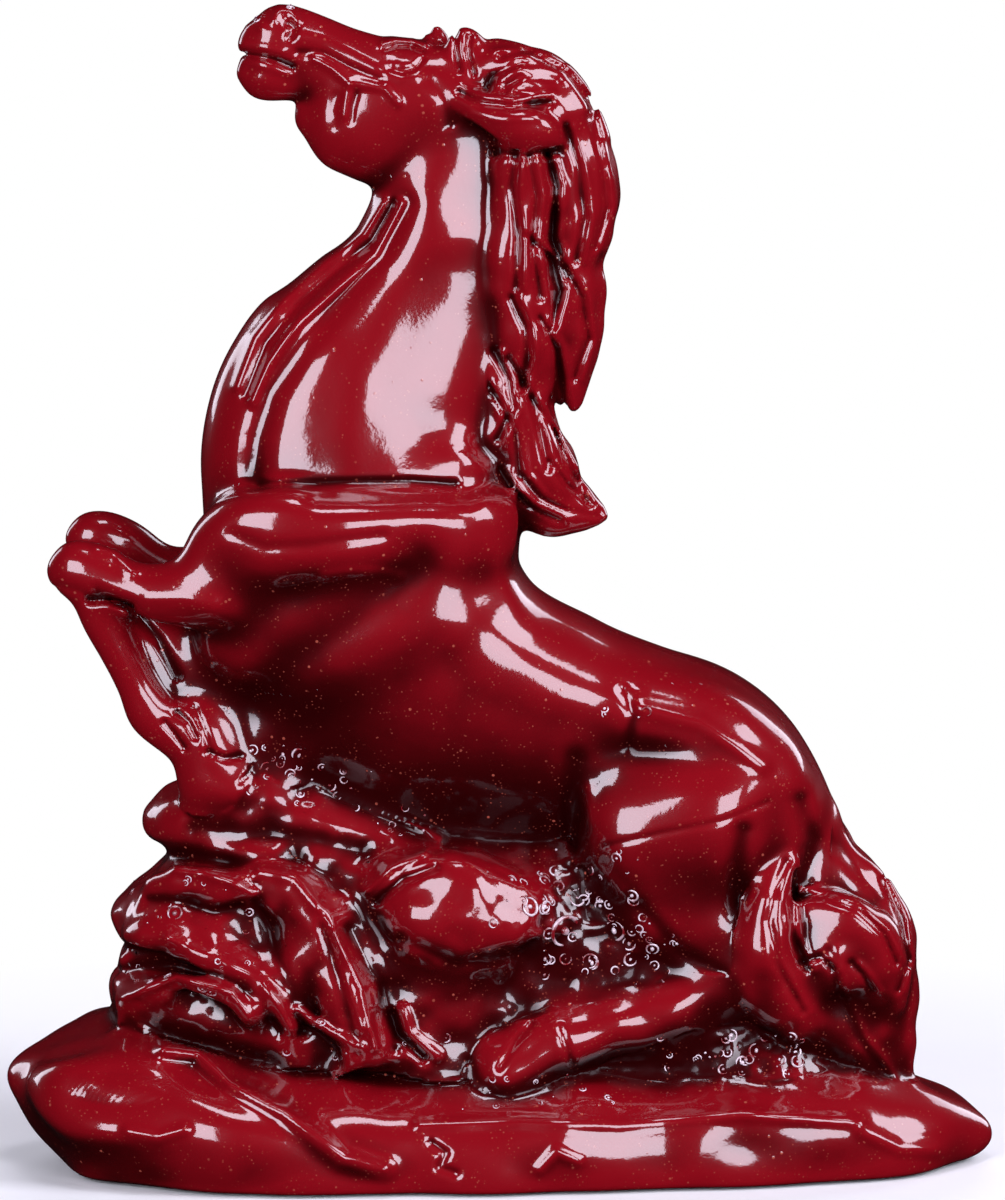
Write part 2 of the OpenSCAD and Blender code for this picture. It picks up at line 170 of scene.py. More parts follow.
GASKIN = [
    [630, 860, -78, 38, 40], [668, 894, -80, 54, 42], [708, 928, -78, 50, 38], [742, 958, -74, 38, 34],
    [772, 984, -66, 26, 28],
]
HIND_CANNON = [
    [762, 974, -72, 26, 26], [728, 986, -84, 30, 27], [684, 1002, -98, 25, 24], [640, 1018, -108, 23, 22],
    [600, 1030, -114, 24, 22], [566, 1040, -118, 28, 25], [544, 1048, -120, 24, 23],
]
HIND_HOOF = [
    [556, 1044, -119, 22, 21], [532, 1054, -122, 31, 27], [502, 1072, -124, 30, 30],
    [490, 1082, -124, 18, 20],
]
TAIL = [
    [772, 754, 0, 20, 24], [794, 796, 0, 27, 32], [812, 842, -4, 35, 38], [836, 888, -10, 45, 44],
    [856, 932, -16, 55, 46], [868, 980, -20, 52, 44], [878, 1022, -22, 46, 38], [890, 1052, -24, 30, 28],
    [898, 1080, -26, 12, 13],
]
TAIL_SWIRL = [
    [792, 918, -62, 14, 18], [818, 928, -78, 38, 28], [848, 944, -84, 48, 30], [874, 968, -72, 40, 26],
    [890, 1000, -52, 18, 18],
]
TAIL_LOCK = [
    [787, 862, -92, 5, 6], [776, 886, -100, 20, 18], [768, 918, -106, 28, 24], [768, 952, -104, 34, 28],
    [784, 990, -96, 36, 28], [812, 1018, -82, 28, 26], [842, 1040, -60, 18, 20],
]
TAIL_STRAND = [
    [822, 950, -62, 12, 12], [838, 978, -66, 16, 16], [852, 1014, -62, 17, 17], [872, 1050, -52, 15, 15],
    [896, 1084, -40, 7, 9],
]
PLINTH = [
    [7, 1077, 0, 10, 14], [20, 1078, 0, 27, 46], [60, 1087, 0, 58, 106], [105, 1096, 0, 79, 156],
    [170, 1112, 0, 85, 180], [260, 1130, 0, 86, 194], [400, 1136, 0, 84, 196], [550, 1136, 0, 84, 190],
    [700, 1134, 0, 82, 168], [820, 1133, 0, 78, 148], [890, 1132, 0, 64, 120], [940, 1128, 0, 41, 84],
    [972, 1133, 0, 28, 46], [994, 1134, 0, 13, 14],
]
LOBE = [
    [46, 1080, -60, 18, 28], [90, 1094, -98, 42, 58], [150, 1108, -124, 50, 62], [220, 1130, -138, 46, 58],
    [300, 1154, -148, 36, 50], [370, 1172, -150, 18, 30],
]
ROCK_CORE = [
    [130, 950, 0, 16, 30], [154, 950, 0, 52, 62], [188, 946, 0, 96, 84], [250, 938, 0, 156, 100],
    [340, 942, 0, 166, 108], [440, 956, 0, 150, 112], [540, 976, 0, 134, 114], [640, 1006, 0, 106, 112],
    [720, 1040, 0, 68, 104], [800, 1064, 0, 32, 76],
]
SADDLE_ROCK = [
    [250, 772, 0, 18, 70], [330, 812, 0, 28, 82], [430, 852, 0, 32, 92], [520, 872, 0, 42, 92],
    [590, 876, 0, 42, 86], [640, 904, 0, 38, 80],
]
SHOULDER = [
    [480, 566, -56, 34, 34], [430, 588, -72, 48, 42], [360, 610, -84, 58, 42], [300, 632, -82, 58, 40],
    [252, 640, -72, 46, 34], [214, 640, -60, 22, 24],
]
FRONT_ROCK = [
    [143, 818, 0, 8, 16], [153, 819, 0, 22, 34], [172, 818, 0, 35, 58], [206, 820, 0, 45, 78],
    [250, 824, 0, 50, 92], [310, 834, 0, 52, 98], [360, 848, 0, 42, 84],
]
UPPER_SCROLL = [
    [117, 928, 0, 11, 24], [128, 922, 0, 26, 54], [154, 912, 0, 38, 88], [190, 904, 0, 44, 108],
    [240, 914, 0, 42, 116], [290, 932, 0, 30, 116],
]
UPPER_ROLL = [
    [150, 884, -66, 10, 12], [186, 880, -92, 17, 18], [226, 884, -108, 17, 18], [256, 898, -112, 12, 14],
    [268, 912, -110, 5, 6],
]
LOWER_SCROLL = [
    [114, 970, 0, 6, 16], [125, 980, 0, 25, 52], [155, 992, 0, 37, 94], [205, 1002, 0, 42, 114],
    [255, 1012, 0, 40, 124], [300, 1026, 0, 34, 126], [334, 1042, 0, 18, 110],
]
LOWER_ROLL = [
    [126, 936, -60, 12, 16], [152, 938, -96, 17, 22], [196, 946, -118, 17, 20], [240, 966, -126, 17, 20],
    [274, 994, -130, 16, 18], [298, 1030, -134, 10, 14],
]
FOOT_LEDGE = [
    [122, 1000, -60, 10, 16], [150, 990, -98, 14, 20], [186, 982, -122, 14, 20], [228, 992, -132, 15, 20],
    [256, 1020, -136, 11, 16],
]
LONG_RIDGE = [
    [252, 868, -94, 9, 12], [278, 876, -106, 19, 20], [308, 908, -116, 24, 24], [330, 956, -124, 23, 24],
    [348, 1006, -132, 20, 22], [364, 1050, -140, 14, 18],
]
SHORT_RIDGE = [
    [336, 918, -112, 5, 8], [352, 948, -118, 12, 14], [366, 985, -124, 13, 16], [378, 1026, -130, 12, 16],
    [386, 1056, -136, 7, 12],
]
BOULDER = [
    [366, 888, -94, 6, 10], [388, 886, -104, 24, 24], [424, 892, -114, 48, 36], [466, 904, -120, 56, 42],
    [506, 906, -114, 46, 36], [540, 908, -102, 18, 18],
]
COLUMN = [
    [462, 920, -102, 52, 30], [448, 970, -104, 52, 30], [440, 1020, -106, 44, 30],
    [430, 1066, -112, 30, 24],
]
MOUND = [
    [684, 1048, 0, 14, 66], [716, 1050, 0, 28, 96], [760, 1053, 0, 31, 108], [806, 1062, 0, 26, 98],
    [846, 1074, 0, 12, 66],
]
# The far hind leg stands this far ahead of the near one.
HIND_LEAD = 26

NODES = [
    "base_shell", "rock_core", "front_rock", "upper_scroll_rock", "lower_scroll_rock", "near_ridges",
    "far_ridges", "near_boulder", "far_boulder", "rear_mound", "barrel", "neck", "head", "near_ear",
    "far_ear", "forelock", "mane_crest", "near_mane_lock", "far_mane_lock", "lower_mane_lock",
    "near_foreleg", "far_foreleg", "foreleg_web", "near_haunch", "far_haunch", "near_hind_cannon",
    "far_hind_cannon", "tail", "near_tail_lock",
]
HORSE = NODES[10:]
ROCKS = NODES[1:10]
BODY = ["barrel", "neck", "near_haunch", "far_haunch", "near_foreleg", "far_foreleg", "foreleg_web"]
NEAR_LEGS = ["near_foreleg", "foreleg_web", "near_hind_cannon"]
HEAD = ["head", "near_ear", "far_ear"]
TAIL_HAIR = ["tail", "near_tail_lock"]
HAIR = ["mane_crest", "near_mane_lock", "far_mane_lock", "lower_mane_lock", "forelock"] + TAIL_HAIR


def far_side(table, lead=0):
    """The same sections behind the middle plane, at the same height and place across."""
    out = []
    for x, y, w, r, d in table:
        z = place(x, y, w)[2]
        out.append([x - lead, GROUND_Y - z * COS + w * SIN, -w, r, d])
    return out


def spline(table, spacing=2.5):
    """Closely spaced places, headings and half sizes on the smooth path through a table."""
    v = np.array([np.concatenate([place(*s[:3]), s[3:5]]) for s in table])
    rows = []
    for i in range(len(v) - 1):
        a, b, c, d = v[max(i - 1, 0)], v[i], v[i + 1], v[min(i + 2, len(v) - 1)]
        n = max(2, int(np.linalg.norm(c[:3] - b[:3]) / spacing))
        t = np.linspace(0, 1, n, endpoint=False)[:, None]
        square, cube = 2 * a - 5 * b + 4 * c - d, 3 * b - a - 3 * c + d
        rows.append(0.5 * (2 * b + (c - a) * t + square * t**2 + cube * t**3))
    rows.append(v[-1:])
    p = np.concatenate(rows)
    t = np.gradient(p[:, :3], axis=0)
    t /= np.linalg.norm(t, axis=1)[:, None]
    s = np.concatenate([[0], np.cumsum(np.linalg.norm(np.diff(p[:, :3], axis=0), axis=1))])
    return p, t, s


def box_of(low, high):
    """The part of the grid between two corners."""
    lo = np.clip(((low - LOW) / STEP).astype(int), 0, COUNT - 1)
    hi = np.clip(np.ceil((high - LOW) / STEP).astype(int) + 1, 1, COUNT)
    return tuple(slice(a, b) for a, b in zip(lo, hi))


def look_up(table, s, total):
    """A table's rows at places along a path, between its evenly spaced rows."""
    f = np.clip(s / total, 0, 1) * (len(table) - 1)
    i = np.minimum(f.astype(np.int32), len(table) - 2)
    f = (f - i)[:, None].astype(np.float32)
    return table[i] * (1 - f) + table[i + 1] * f


def dot(a, b):
    """The products of two lists of vectors, row by row."""
    return np.einsum("ij,ij->i", a, b)


def unit(v, least=1e-6):
    """A list of vectors at length one."""
    return v / np.maximum(np.linalg.norm(v, axis=1), least)[:, None]


def spread(volume, half):
    """The mean over a cube around each place."""
    for axis in range(3):
        n = volume.shape[axis]
        ends = [(half, half) if a == axis else (0, 0) for a in range(3)]
        padded = np.pad(volume, ends, mode="edge")
        total = np.zeros_like(volume)
        for step in range(2 * half + 1):
            total += padded[tuple(slice(step, step + n) if a == axis else slice(None) for a in range(3))]
        volume = total / (2 * half + 1)
    return volume


def fillet(a, b, blend):
    """What fills the corner where two forms meet."""
    h = np.clip(blend - np.abs(a - b), 0, None) / blend
    return h * h * blend * 0.25


def nearest(p, s, reach, box):
    """The squared distance to a path, and how far along it that is, in a box of the grid."""
    shape = [b.stop - b.start for b in box]
    near = np.full(shape, 1e9, np.float32)
    along = np.zeros(shape, np.float32)
    size = float(np.maximum(p[:, 3], p[:, 4]).mean())
    n = max(3, int(s[-1] / max(8.0, 0.22 * size)))
    knots = np.interp(np.linspace(0, s[-1], n + 1), s, np.arange(len(s)))
    knots = np.unique(np.round(knots).astype(int))
    for a, b in zip(knots[:-1], knots[1:]):
        pa, pb = p[a, :3], p[b, :3]
        r = max(reach[a], reach[b])
        sub = box_of(np.minimum(pa, pb) - r, np.maximum(pa, pb) + r)
        both = [slice(max(u.start, w.start), min(u.stop, w.stop)) for u, w in zip(sub, box)]
        inner = tuple(slice(u.start - w.start, u.stop - w.start) for u, w in zip(both, box))
        x, y, z = np.ix_(*(AXES[i][both[i]] - np.float32(pa[i]) for i in range(3)))
        e = (pb - pa).astype(np.float32)
        f = np.clip((x * e[0] + y * e[1] + z * e[2]) / float(e @ e), 0, 1)
        q = (x - f * e[0]) ** 2 + (y - f * e[1]) ** 2 + (z - f * e[2]) ** 2
        old = near[inner]
        better = q < old
        near[inner] = np.where(better, q, old)
        along[inner] = np.where(better, s[a] + f * (s[b] - s[a]), along[inner])
    return near, along


def beside(p, t, s, q, u):
    """Places beside a path: how far to the side, in depth and ahead, how far along, and the section there."""
    total = float(s[-1])
    even = np.linspace(0, total, len(s))
    turn = np.gradient(t, s, axis=0)
    rows = np.stack([np.interp(even, s, c) for c in np.concatenate([p, t, turn], 1).T], 1).astype(np.float32)
    for _ in range(3):
        row = look_up(rows, u, total)
        off = q - row[:, :3]
        bend = np.maximum(1 - dot(off, row[:, 8:11]), 0.5)
        u = np.clip(u + dot(off, row[:, 5:8]) / bend, 0, total)
    row = look_up(rows, u, total)
    off = q - row[:, :3]
    head = unit(row[:, 5:8])
    side = unit(np.cross(head, np.array([0, 1, 0], np.float32)))
    return dot(off, side), dot(off, np.cross(head, side)), dot(off, head), u, row[:, 3], row[:, 4]


def rounded(a, b, c, r, d, end, power):
    """Distance to a rounded form with three half sizes, the squarer the higher the power."""
    if power == 2:
        k0 = np.sqrt((a / r) ** 2 + (b / d) ** 2 + (c / end) ** 2)
        k1 = np.sqrt((a / r**2) ** 2 + (b / d**2) ** 2 + (c / end**2) ** 2)
        return k0 * (k0 - 1) / np.maximum(k1, 1e-5)
    x, y, z = np.abs(a / r), np.abs(b / d), np.abs(c / end)
    k0 = (x**power + y**power + z**power) ** (1 / power)
    x, y, z = x ** (power - 1) / r, y ** (power - 1) / d, z ** (power - 1) / end
    g = np.maximum(k0, 1e-3) ** (1 - power) * np.sqrt(x**2 + y**2 + z**2)
    return (k0 - 1) / np.maximum(g, 1e-4)


class Field:
    """Distance to the figure's surface on a grid, in grid units, with the casting that owns each place."""

    def __init__(self):
        self.d = np.full(COUNT, FAR, np.float32)
        self.own = np.full(COUNT, FAR, np.float32)
        self.label = np.zeros(COUNT, np.int8)

    def owned(self, nodes, box=...):
        """Where the named castings own the grid."""
        return np.isin(self.label[box], [NODES.index(n) for n in nodes])

    def tube(self, table, node, blend, power=2.0, cap=0.3, flutes=None, skew=0.0):
        """Joins in a form with sections along a path. Flutes are their count, depth and twist."""
        p, t, s = spline(table)
        total = float(s[-1])
        reach = np.maximum(p[:, 3], p[:, 4]) + MARGIN
        box = box_of((p[:, :3] - reach[:, None]).min(0), (p[:, :3] + reach[:, None]).max(0))
        near, along = nearest(p, s, reach, box)
        knot = (along / max(total, 1e-6) * 255).astype(np.uint8)
        even = np.linspace(0, total, 256)
        inner = np.interp(even, s, np.minimum(p[:, 3], p[:, 4])).astype(np.float32)[knot]
        outer = np.interp(even, s, reach).astype(np.float32)[knot]
        core = near < np.clip(inner - CORE, 0, None) ** 2
        keep = np.nonzero((near < (outer * (1 + abs(skew)) + PAST) ** 2) & ~core)
        q = np.stack([AXES[i][keep[i] + box[i].start] for i in range(3)], 1)
        a, b, c, u, r, d = beside(p, t, s, q, along[keep])
        d = d * (1 + skew * np.clip((total - u) / SKEW_FADE, 0, 1) * np.clip(a / r, -1, 1))
        end = np.maximum(np.minimum(r, d) * cap, 2.0)
        dist = np.maximum(rounded(a, b, c, r, d, end, power), -np.minimum(r, d))
        if flutes:
            count, depth, twist = flutes
            angle = np.arctan2(b / d, a / r)
            wave = np.abs(np.sin(0.5 * count * angle + twist * u + 0.7 * np.sin(0.031 * u)))
            dist -= depth * (wave - 0.55) * np.clip(np.minimum(u, total - u) / FLUTE_FADE, 0, 1)
        part = np.where(core, DEEP, np.float32(FAR))
        part[keep] = dist
        self.join(part, box, node, blend)

    def join(self, part, box, node, blend):
        """Melts a form into the figure, and gives its casting the places that it is nearest to."""
        old = self.d[box]
        self.d[box] = np.minimum(old, part) - fillet(old, part, blend)
        own = self.own[box]
        closer = part < own
        self.own[box] = np.where(closer, part, own)
        self.label[box] = np.where(closer, NODES.index(node), self.label[box])

    def flat(self, z, blend=6.0):
        """Cuts off what is below a height, with a rounded edge."""
        cut = (z - AXES[2])[None, None, :]
        self.d = np.maximum(self.d, cut) + fillet(self.d, cut, blend)

    def stroke(self, points, width, depth, face, keep):
        """Carves (or with a negative depth raises) a line drawn on the near (-1) or far (1) face."""
        pts = np.array(points, float)
        lo, hi = pts.min(0) - 3 * width, pts.max(0) + 3 * width
        w = (LOW[1], -3.0) if face < 0 else (3.0, HIGH[1])
        up = [place(0, y, v)[2] for y in (lo[1], hi[1]) for v in (LOW[1], HIGH[1])]
        box = box_of(np.array([lo[0] - MID_X, w[0], min(up)]), np.array([hi[0] - MID_X, w[1], max(up)]))
        x, y, z = np.ix_(*(AXES[i][box[i]] for i in range(3)))
        x, down = np.broadcast_arrays(x + MID_X, GROUND_Y - z * COS + np.abs(y) * SIN)
        d = self.d[box]
        i = np.nonzero((np.abs(d) < TOUCH) & self.owned(keep, box))
        px, py = x[i], down[i]
        best = np.full(len(px), 1e9, np.float32)
        for a, b in zip(pts[:-1], pts[1:]):
            e = b - a
            f = np.clip(((px - a[0]) * e[0] + (py - a[1]) * e[1]) / (e @ e), 0, 1)
            best = np.minimum(best, (px - a[0] - f * e[0]) ** 2 + (py - a[1] - f * e[1]) ** 2)
        d[i] += depth * np.exp(-best / (width * width) * 1.2)

    def draw(self, keep, lines, faces=(-1, 1)):
        """Carves a list of lines into the named castings, on both faces or on one."""
        for points, width, depth in lines:
            for face in faces:
                self.stroke(points, width, depth, face, keep)

    def bump(self, x, y, w, size, depth):
        """Pushes the surface in (positive depth) or out around one place, on both sides of the figure."""
        size = np.array(size, float) * np.ones(3)
        for v in (w, -w):
            c = place(x, y, v)
            box = box_of(c - 2.6 * size, c + 2.6 * size)
            g = np.ix_(*(((AXES[i][box[i]] - c[i]) / size[i]) ** 2 for i in range(3)))
            self.d[box] += (depth * np.exp(-sum(g))).astype(np.float32)

    def bumps(self, spots):
        for spot in spots:
            self.bump(*spot)

    def melt(self, nodes, reach):
        """Lets the named castings sag together: creases fill and edges round off within the reach."""
        half = max(1, round(reach / STEP))
        mask = spread(self.owned(nodes).astype(np.float32), half)
        held = np.clip(self.d, -MELT_DEPTH, MELT_DEPTH)
        self.d += mask * (spread(spread(held, half), half) - held)

    def noise(self, pitch, depth, seed, nodes, ridged=False, spot=None):
        """Adds smooth random relief over the named castings, or only about one spot on them."""
        n = np.ceil((HIGH - LOW) / pitch).astype(int) + 3
        out = np.random.default_rng(seed).uniform(-1, 1, n).astype(np.float32)
        for axis in range(3):
            f = (AXES[axis] - LOW[axis]) / pitch + 1
            i = f.astype(int)
            f = f - i
            f = f * f * (3 - 2 * f)
            a, b = np.take(out, i, axis), np.take(out, i + 1, axis)
            f = f.reshape([-1 if k == axis else 1 for k in range(3)]).astype(np.float32)
            out = a + (b - a) * f
        if ridged:
            out = 0.5 - np.abs(out)
        if spot:
            out = out * spot_mask(*spot)
        self.d += out * self.owned(nodes) * np.float32(depth)


def spot_mask(x, y, w, size):
    """A soft mask about one place on the near side, and the same on the far side."""
    c = place(x, y, w)
    axes = (AXES[0], -np.abs(AXES[1]), AXES[2])
    g = np.ix_(*(((axes[i] - c[i]) / size[i]) ** 2 for i in range(3)))
    return np.exp(-sum(g)).astype(np.float32)


def pair(f, table, name, blend, lead=0, **form):
    """A form on the near side and the same on the far side, moved ahead by the lead."""
    f.tube(table, "near_" + name, blend, **form)
    f.tube(far_side(table, lead), "far_" + name, blend, **form)


def body(f):
    f.tube(TRUNK[:11], "barrel", 8, power=2.3, cap=0.5, skew=-0.22)
    f.tube(TRUNK[10:], "neck", 8, power=2.3, cap=0.5)
    pair(f, THIGH, "haunch", 30, HIND_LEAD)
    pair(f, HIP, "haunch", 26)
    pair(f, GASKIN, "haunch", 22, HIND_LEAD)


def forelegs(f):
    f.tube(FAR_ARM, "far_foreleg", 16)
    f.tube(NEAR_ARM, "near_foreleg", 12, power=3.0)
    pair(f, SHOULDER, "foreleg", 40)
    f.tube(WEB, "foreleg_web", 26)
    f.tube(NEAR_FOREARM, "near_foreleg", 24)
    f.tube(NEAR_SHIN, "near_foreleg", 9)
    f.tube(FAR_SHIN, "far_foreleg", 12)


def skull(f):
    for table, blend in ((SKULL, 14), (CHEEK, 12), (CHIN, 6)):
        f.tube(table, "head", blend, cap=0.6)


def mane(f):
    f.tube(MANE_ROOT, "mane_crest", 10)
    f.tube(CREST, "mane_crest", 14, flutes=(9, 3.6, 0.013))
    f.tube(MANE_LOCK, "near_mane_lock", 14, flutes=(7, 4.0, -0.016))
    f.tube(far_side(MANE_LOCK), "far_mane_lock", 14, flutes=(7, 4.0, 0.016))
    f.tube(LOWER_MANE, "lower_mane_lock", 12, flutes=(10, 6.0, 0.016))


def tail(f):
    f.tube(TAIL, "tail", 20, flutes=(9, 3.0, 0.008))
    f.tube(TAIL_LOCK, "near_tail_lock", 24, cap=0.8)
    f.tube(TAIL_SWIRL, "tail", 16, power=3.0, cap=0.6)
    f.tube(TAIL_STRAND, "tail", 26)


def hooves(f):
    """The hind cannons with their hooves, and the near front hoof."""
    f.tube(HIND_CANNON, "near_hind_cannon", 28, cap=0.8)
    f.tube(far_side(HIND_CANNON, HIND_LEAD), "far_hind_cannon", 10, cap=0.8)
    f.tube(HIND_HOOF, "near_hind_cannon", 24)
    f.tube(far_side(HIND_HOOF, HIND_LEAD), "far_hind_cannon", 5)
    f.tube(NEAR_HOOF, "near_foreleg", 7, cap=0.35)


def ears(f):
    f.tube(NEAR_EAR, "near_ear", 6, cap=0.8)
    f.tube(FAR_EAR, "far_ear", 5, cap=0.8)
    f.tube(FORELOCK, "forelock", 4, cap=0.8)
    f.tube(FORELOCK_B, "forelock", 3, cap=0.8)


def base(f):
    f.tube(PLINTH, "base_shell", 10, power=2.8)
    f.tube(LOBE, "base_shell", 16, power=3.0)


def rocks(f):
    f.tube(ROCK_CORE, "rock_core", 26)
    f.tube(FRONT_ROCK, "front_rock", 10)
    for table, blend in ((UPPER_SCROLL, 18), (UPPER_ROLL, 22)):
        f.tube(table, "upper_scroll_rock", blend)
    for table, blend in ((LOWER_SCROLL, 26), (LOWER_ROLL, 22), (FOOT_LEDGE, 28)):
        f.tube(table, "lower_scroll_rock", blend)
    for table in (LONG_RIDGE, SHORT_RIDGE):
        pair(f, table, "ridges", 28)
    f.tube(SADDLE_ROCK, "rock_core", 36)
    pair(f, BOULDER, "boulder", 26, power=2.8, cap=0.8)
    pair(f, COLUMN, "boulder", 34)
    f.tube(MOUND, "rear_mound", 26)


def sculpt():
    """The whole figure's field before its details."""
    f = Field()
    for part in (body, forelegs, skull, mane, tail, hooves, ears, base, rocks):
        part(f)
    return f


# Lines drawn on the surface: their points in the drawing, width, and depth (negative for a raised line).
HEAD_LINES = [
    ([(304, 40), (326, 42), (350, 54), (377, 70)], 11, -3.4),
    ([(300, 56), (325, 58), (348, 70), (380, 84)], 5, 2.8),
    ([(316, 62), (334, 72), (350, 86), (368, 89), (386, 92), (399, 106)], 5, -3.4),
    ([(350, 90), (347, 104), (346, 120)], 4.5, -2.4),
    ([(358, 98), (354, 110), (352, 124)], 4.0, 2.4),
    ([(338, 100), (334, 114), (336, 130)], 6, 1.6),
    ([(246, 57), (262, 60), (278, 64), (294, 71)], 3.6, 5.0),
    ([(244, 49), (262, 51), (284, 56)], 5, -2.0),
    ([(246, 66), (265, 70), (288, 77)], 5, -2.0),
    ([(290, 28), (296, 33), (292, 41)], 4.4, 5.6),
    ([(276, 24), (281, 14), (292, 15), (300, 25)], 4.2, -3.4),
    ([(250, 30), (258, 26), (264, 32)], 4.5, -2.0),
    ([(383, 48), (395, 43), (412, 43), (427, 48)], 4.0, -3.6),
    ([(386, 53), (398, 49), (412, 50), (424, 55)], 2.6, 3.8),
    ([(392, 72), (404, 76), (416, 72), (423, 63)], 3.0, 3.0),
    ([(388, 79), (402, 84), (418, 81)], 4.0, -1.6),
    ([(430, 85), (446, 104), (450, 128)], 8, 2.0),
]
NECK_LINES = [
    ([(238, 388), (256, 338), (286, 300), (326, 262), (364, 236), (384, 206)], 6, -3.6),
    ([(248, 398), (268, 346), (298, 308), (336, 274), (374, 242), (394, 206)], 5, 3.2),
    ([(254, 402), (270, 366), (300, 324), (338, 290), (376, 256), (402, 206)], 6, -4.2),
    ([(256, 478), (261, 440), (274, 396), (304, 350), (344, 300), (382, 250), (405, 208)], 15, 5.0),
    ([(350, 478), (350, 430), (362, 380), (386, 320), (410, 262)], 26, -1.6),
    ([(262, 486), (300, 485), (350, 483), (410, 482), (455, 485)], 5, 3.0),
    ([(234, 534), (268, 548), (310, 546), (352, 540), (384, 536)], 8, 1.6),
    ([(326, 576), (352, 572), (380, 572), (402, 576)], 6, -1.0),
    ([(320, 500), (400, 498), (466, 500)], 15, 3.4),
]
BODY_LINES = [
    ([(420, 560), (390, 596), (340, 630), (290, 660), (256, 700)], 28, 6.0),
    ([(455, 575), (500, 640), (565, 690), (615, 700)], 30, -1.5),
    ([(440, 640), (470, 690), (530, 715), (600, 730), (630, 745)], 20, 1.2),
    ([(622, 690), (634, 716), (628, 745)], 6, 2.6),
    ([(640, 708), (700, 722), (762, 764)], 9, -3.6),
    ([(588, 790), (584, 830), (596, 864), (620, 890)], 9, -2.0),
    ([(576, 760), (570, 800), (572, 845)], 12, 4.0),
    ([(742, 830), (735, 870), (738, 910), (748, 960)], 12, 4.0),
    ([(800, 800), (812, 840), (806, 880)], 12, 4.0),
    ([(605, 845), (660, 832), (720, 820), (767, 801)], 3.5, 0.9),
    ([(640, 905), (680, 950), (720, 972)], 8, 2.0),
]
LEG_LINES = [
    ([(92, 600), (112, 600), (134, 606)], 5, 5.0),
    ([(100, 592), (130, 606), (160, 640), (178, 676)], 6, 4.0),
    ([(100, 548), (118, 552), (134, 572)], 6, -2.6),
    ([(60, 585), (84, 592), (96, 600)], 5, 1.8),
    ([(150, 600), (186, 600), (214, 606)], 10, -2.0),
    ([(166, 722), (176, 734), (186, 748)], 3.5, 3.0),
    ([(178, 712), (190, 722), (198, 738)], 3.0, 3.4),
    ([(196, 708), (205, 730), (212, 752)], 4.0, 2.6),
    ([(208, 752), (226, 758), (240, 756)], 4.0, 2.4),
    ([(500, 1066), (516, 1040), (532, 1022)], 4, 2.6),
    ([(560, 1026), (566, 1044), (572, 1062)], 4, 2.2),
]
LOCK_LINES = [
    ([(560, 70), (520, 68), (492, 80), (486, 96), (494, 112)], 4, 3.0),
    ([(556, 84), (520, 82), (504, 92), (506, 104), (520, 108)], 3.6, 2.8),
    ([(500, 60), (530, 56), (566, 74), (590, 104), (600, 140)], 4, 3.6),
    ([(516, 150), (512, 190), (518, 240), (516, 290)], 4, 5.0),
    ([(528, 160), (536, 200), (532, 250), (540, 300)], 3.6, 4.6),
    ([(546, 156), (556, 190), (552, 240), (566, 280)], 3.8, 4.4),
    ([(566, 130), (578, 170), (584, 220), (576, 262)], 4, 4.0),
    ([(588, 120), (602, 168), (606, 210), (594, 250)], 4, 3.6),
    ([(528, 240), (552, 262), (560, 292), (552, 330)], 4, 4.4),
    ([(566, 270), (582, 300), (588, 340), (574, 380)], 4, 4.4),
    ([(512, 300), (526, 330), (528, 360), (520, 392)], 5, 5.0),
    ([(540, 320), (556, 350), (562, 384), (566, 408)], 3.6, 4.0),
    ([(494, 352), (508, 380), (512, 410), (498, 440)], 4, 4.4),
    ([(508, 360), (528, 392), (540, 430), (548, 470)], 4, 4.4),
    ([(486, 384), (500, 404), (514, 434), (520, 476)], 3.6, 3.6),
    ([(532, 398), (552, 430), (570, 470), (590, 505)], 3.8, 4.4),
    ([(500, 470), (512, 490), (530, 506), (560, 520)], 4, 4.4),
    ([(524, 478), (540, 498), (566, 510), (598, 516)], 3.8, 4.0),
    ([(550, 462), (566, 484), (586, 500)], 3.4, 3.4),
]
FORELOCK_LINES = [
    ([(460, 96), (482, 108), (512, 112), (550, 106)], 4, 4.4),
    ([(462, 92), (486, 101), (516, 103), (552, 98)], 5, -2.6),
    ([(470, 118), (500, 124), (536, 122)], 5, -2.0),
    ([(440, 148), (480, 154), (520, 160), (556, 156)], 5, 4.0),
    ([(456, 34), (456, 54), (460, 74)], 3.2, 4.4),
    ([(470, 40), (468, 58), (474, 78)], 3.2, 4.0),
]
TAIL_LINES = [
    ([(786, 862), (774, 888), (768, 920), (776, 962), (802, 1010)], 5, 2.6),
    ([(796, 872), (790, 900), (792, 936), (806, 968)], 4, 3.4),
    ([(798, 898), (826, 896), (856, 908), (882, 932), (896, 962)], 4, 4.4),
    ([(800, 962), (820, 956), (832, 968)], 3.6, 3.0),
    ([(850, 962), (862, 974), (872, 990)], 3.4, 3.0),
    ([(828, 950), (838, 990), (858, 1036), (890, 1080)], 5, 2.0),
    ([(884, 880), (902, 920), (908, 960), (898, 990)], 3.6, 3.8),
    ([(820, 830), (850, 860), (878, 900)], 9, 3.0),
]
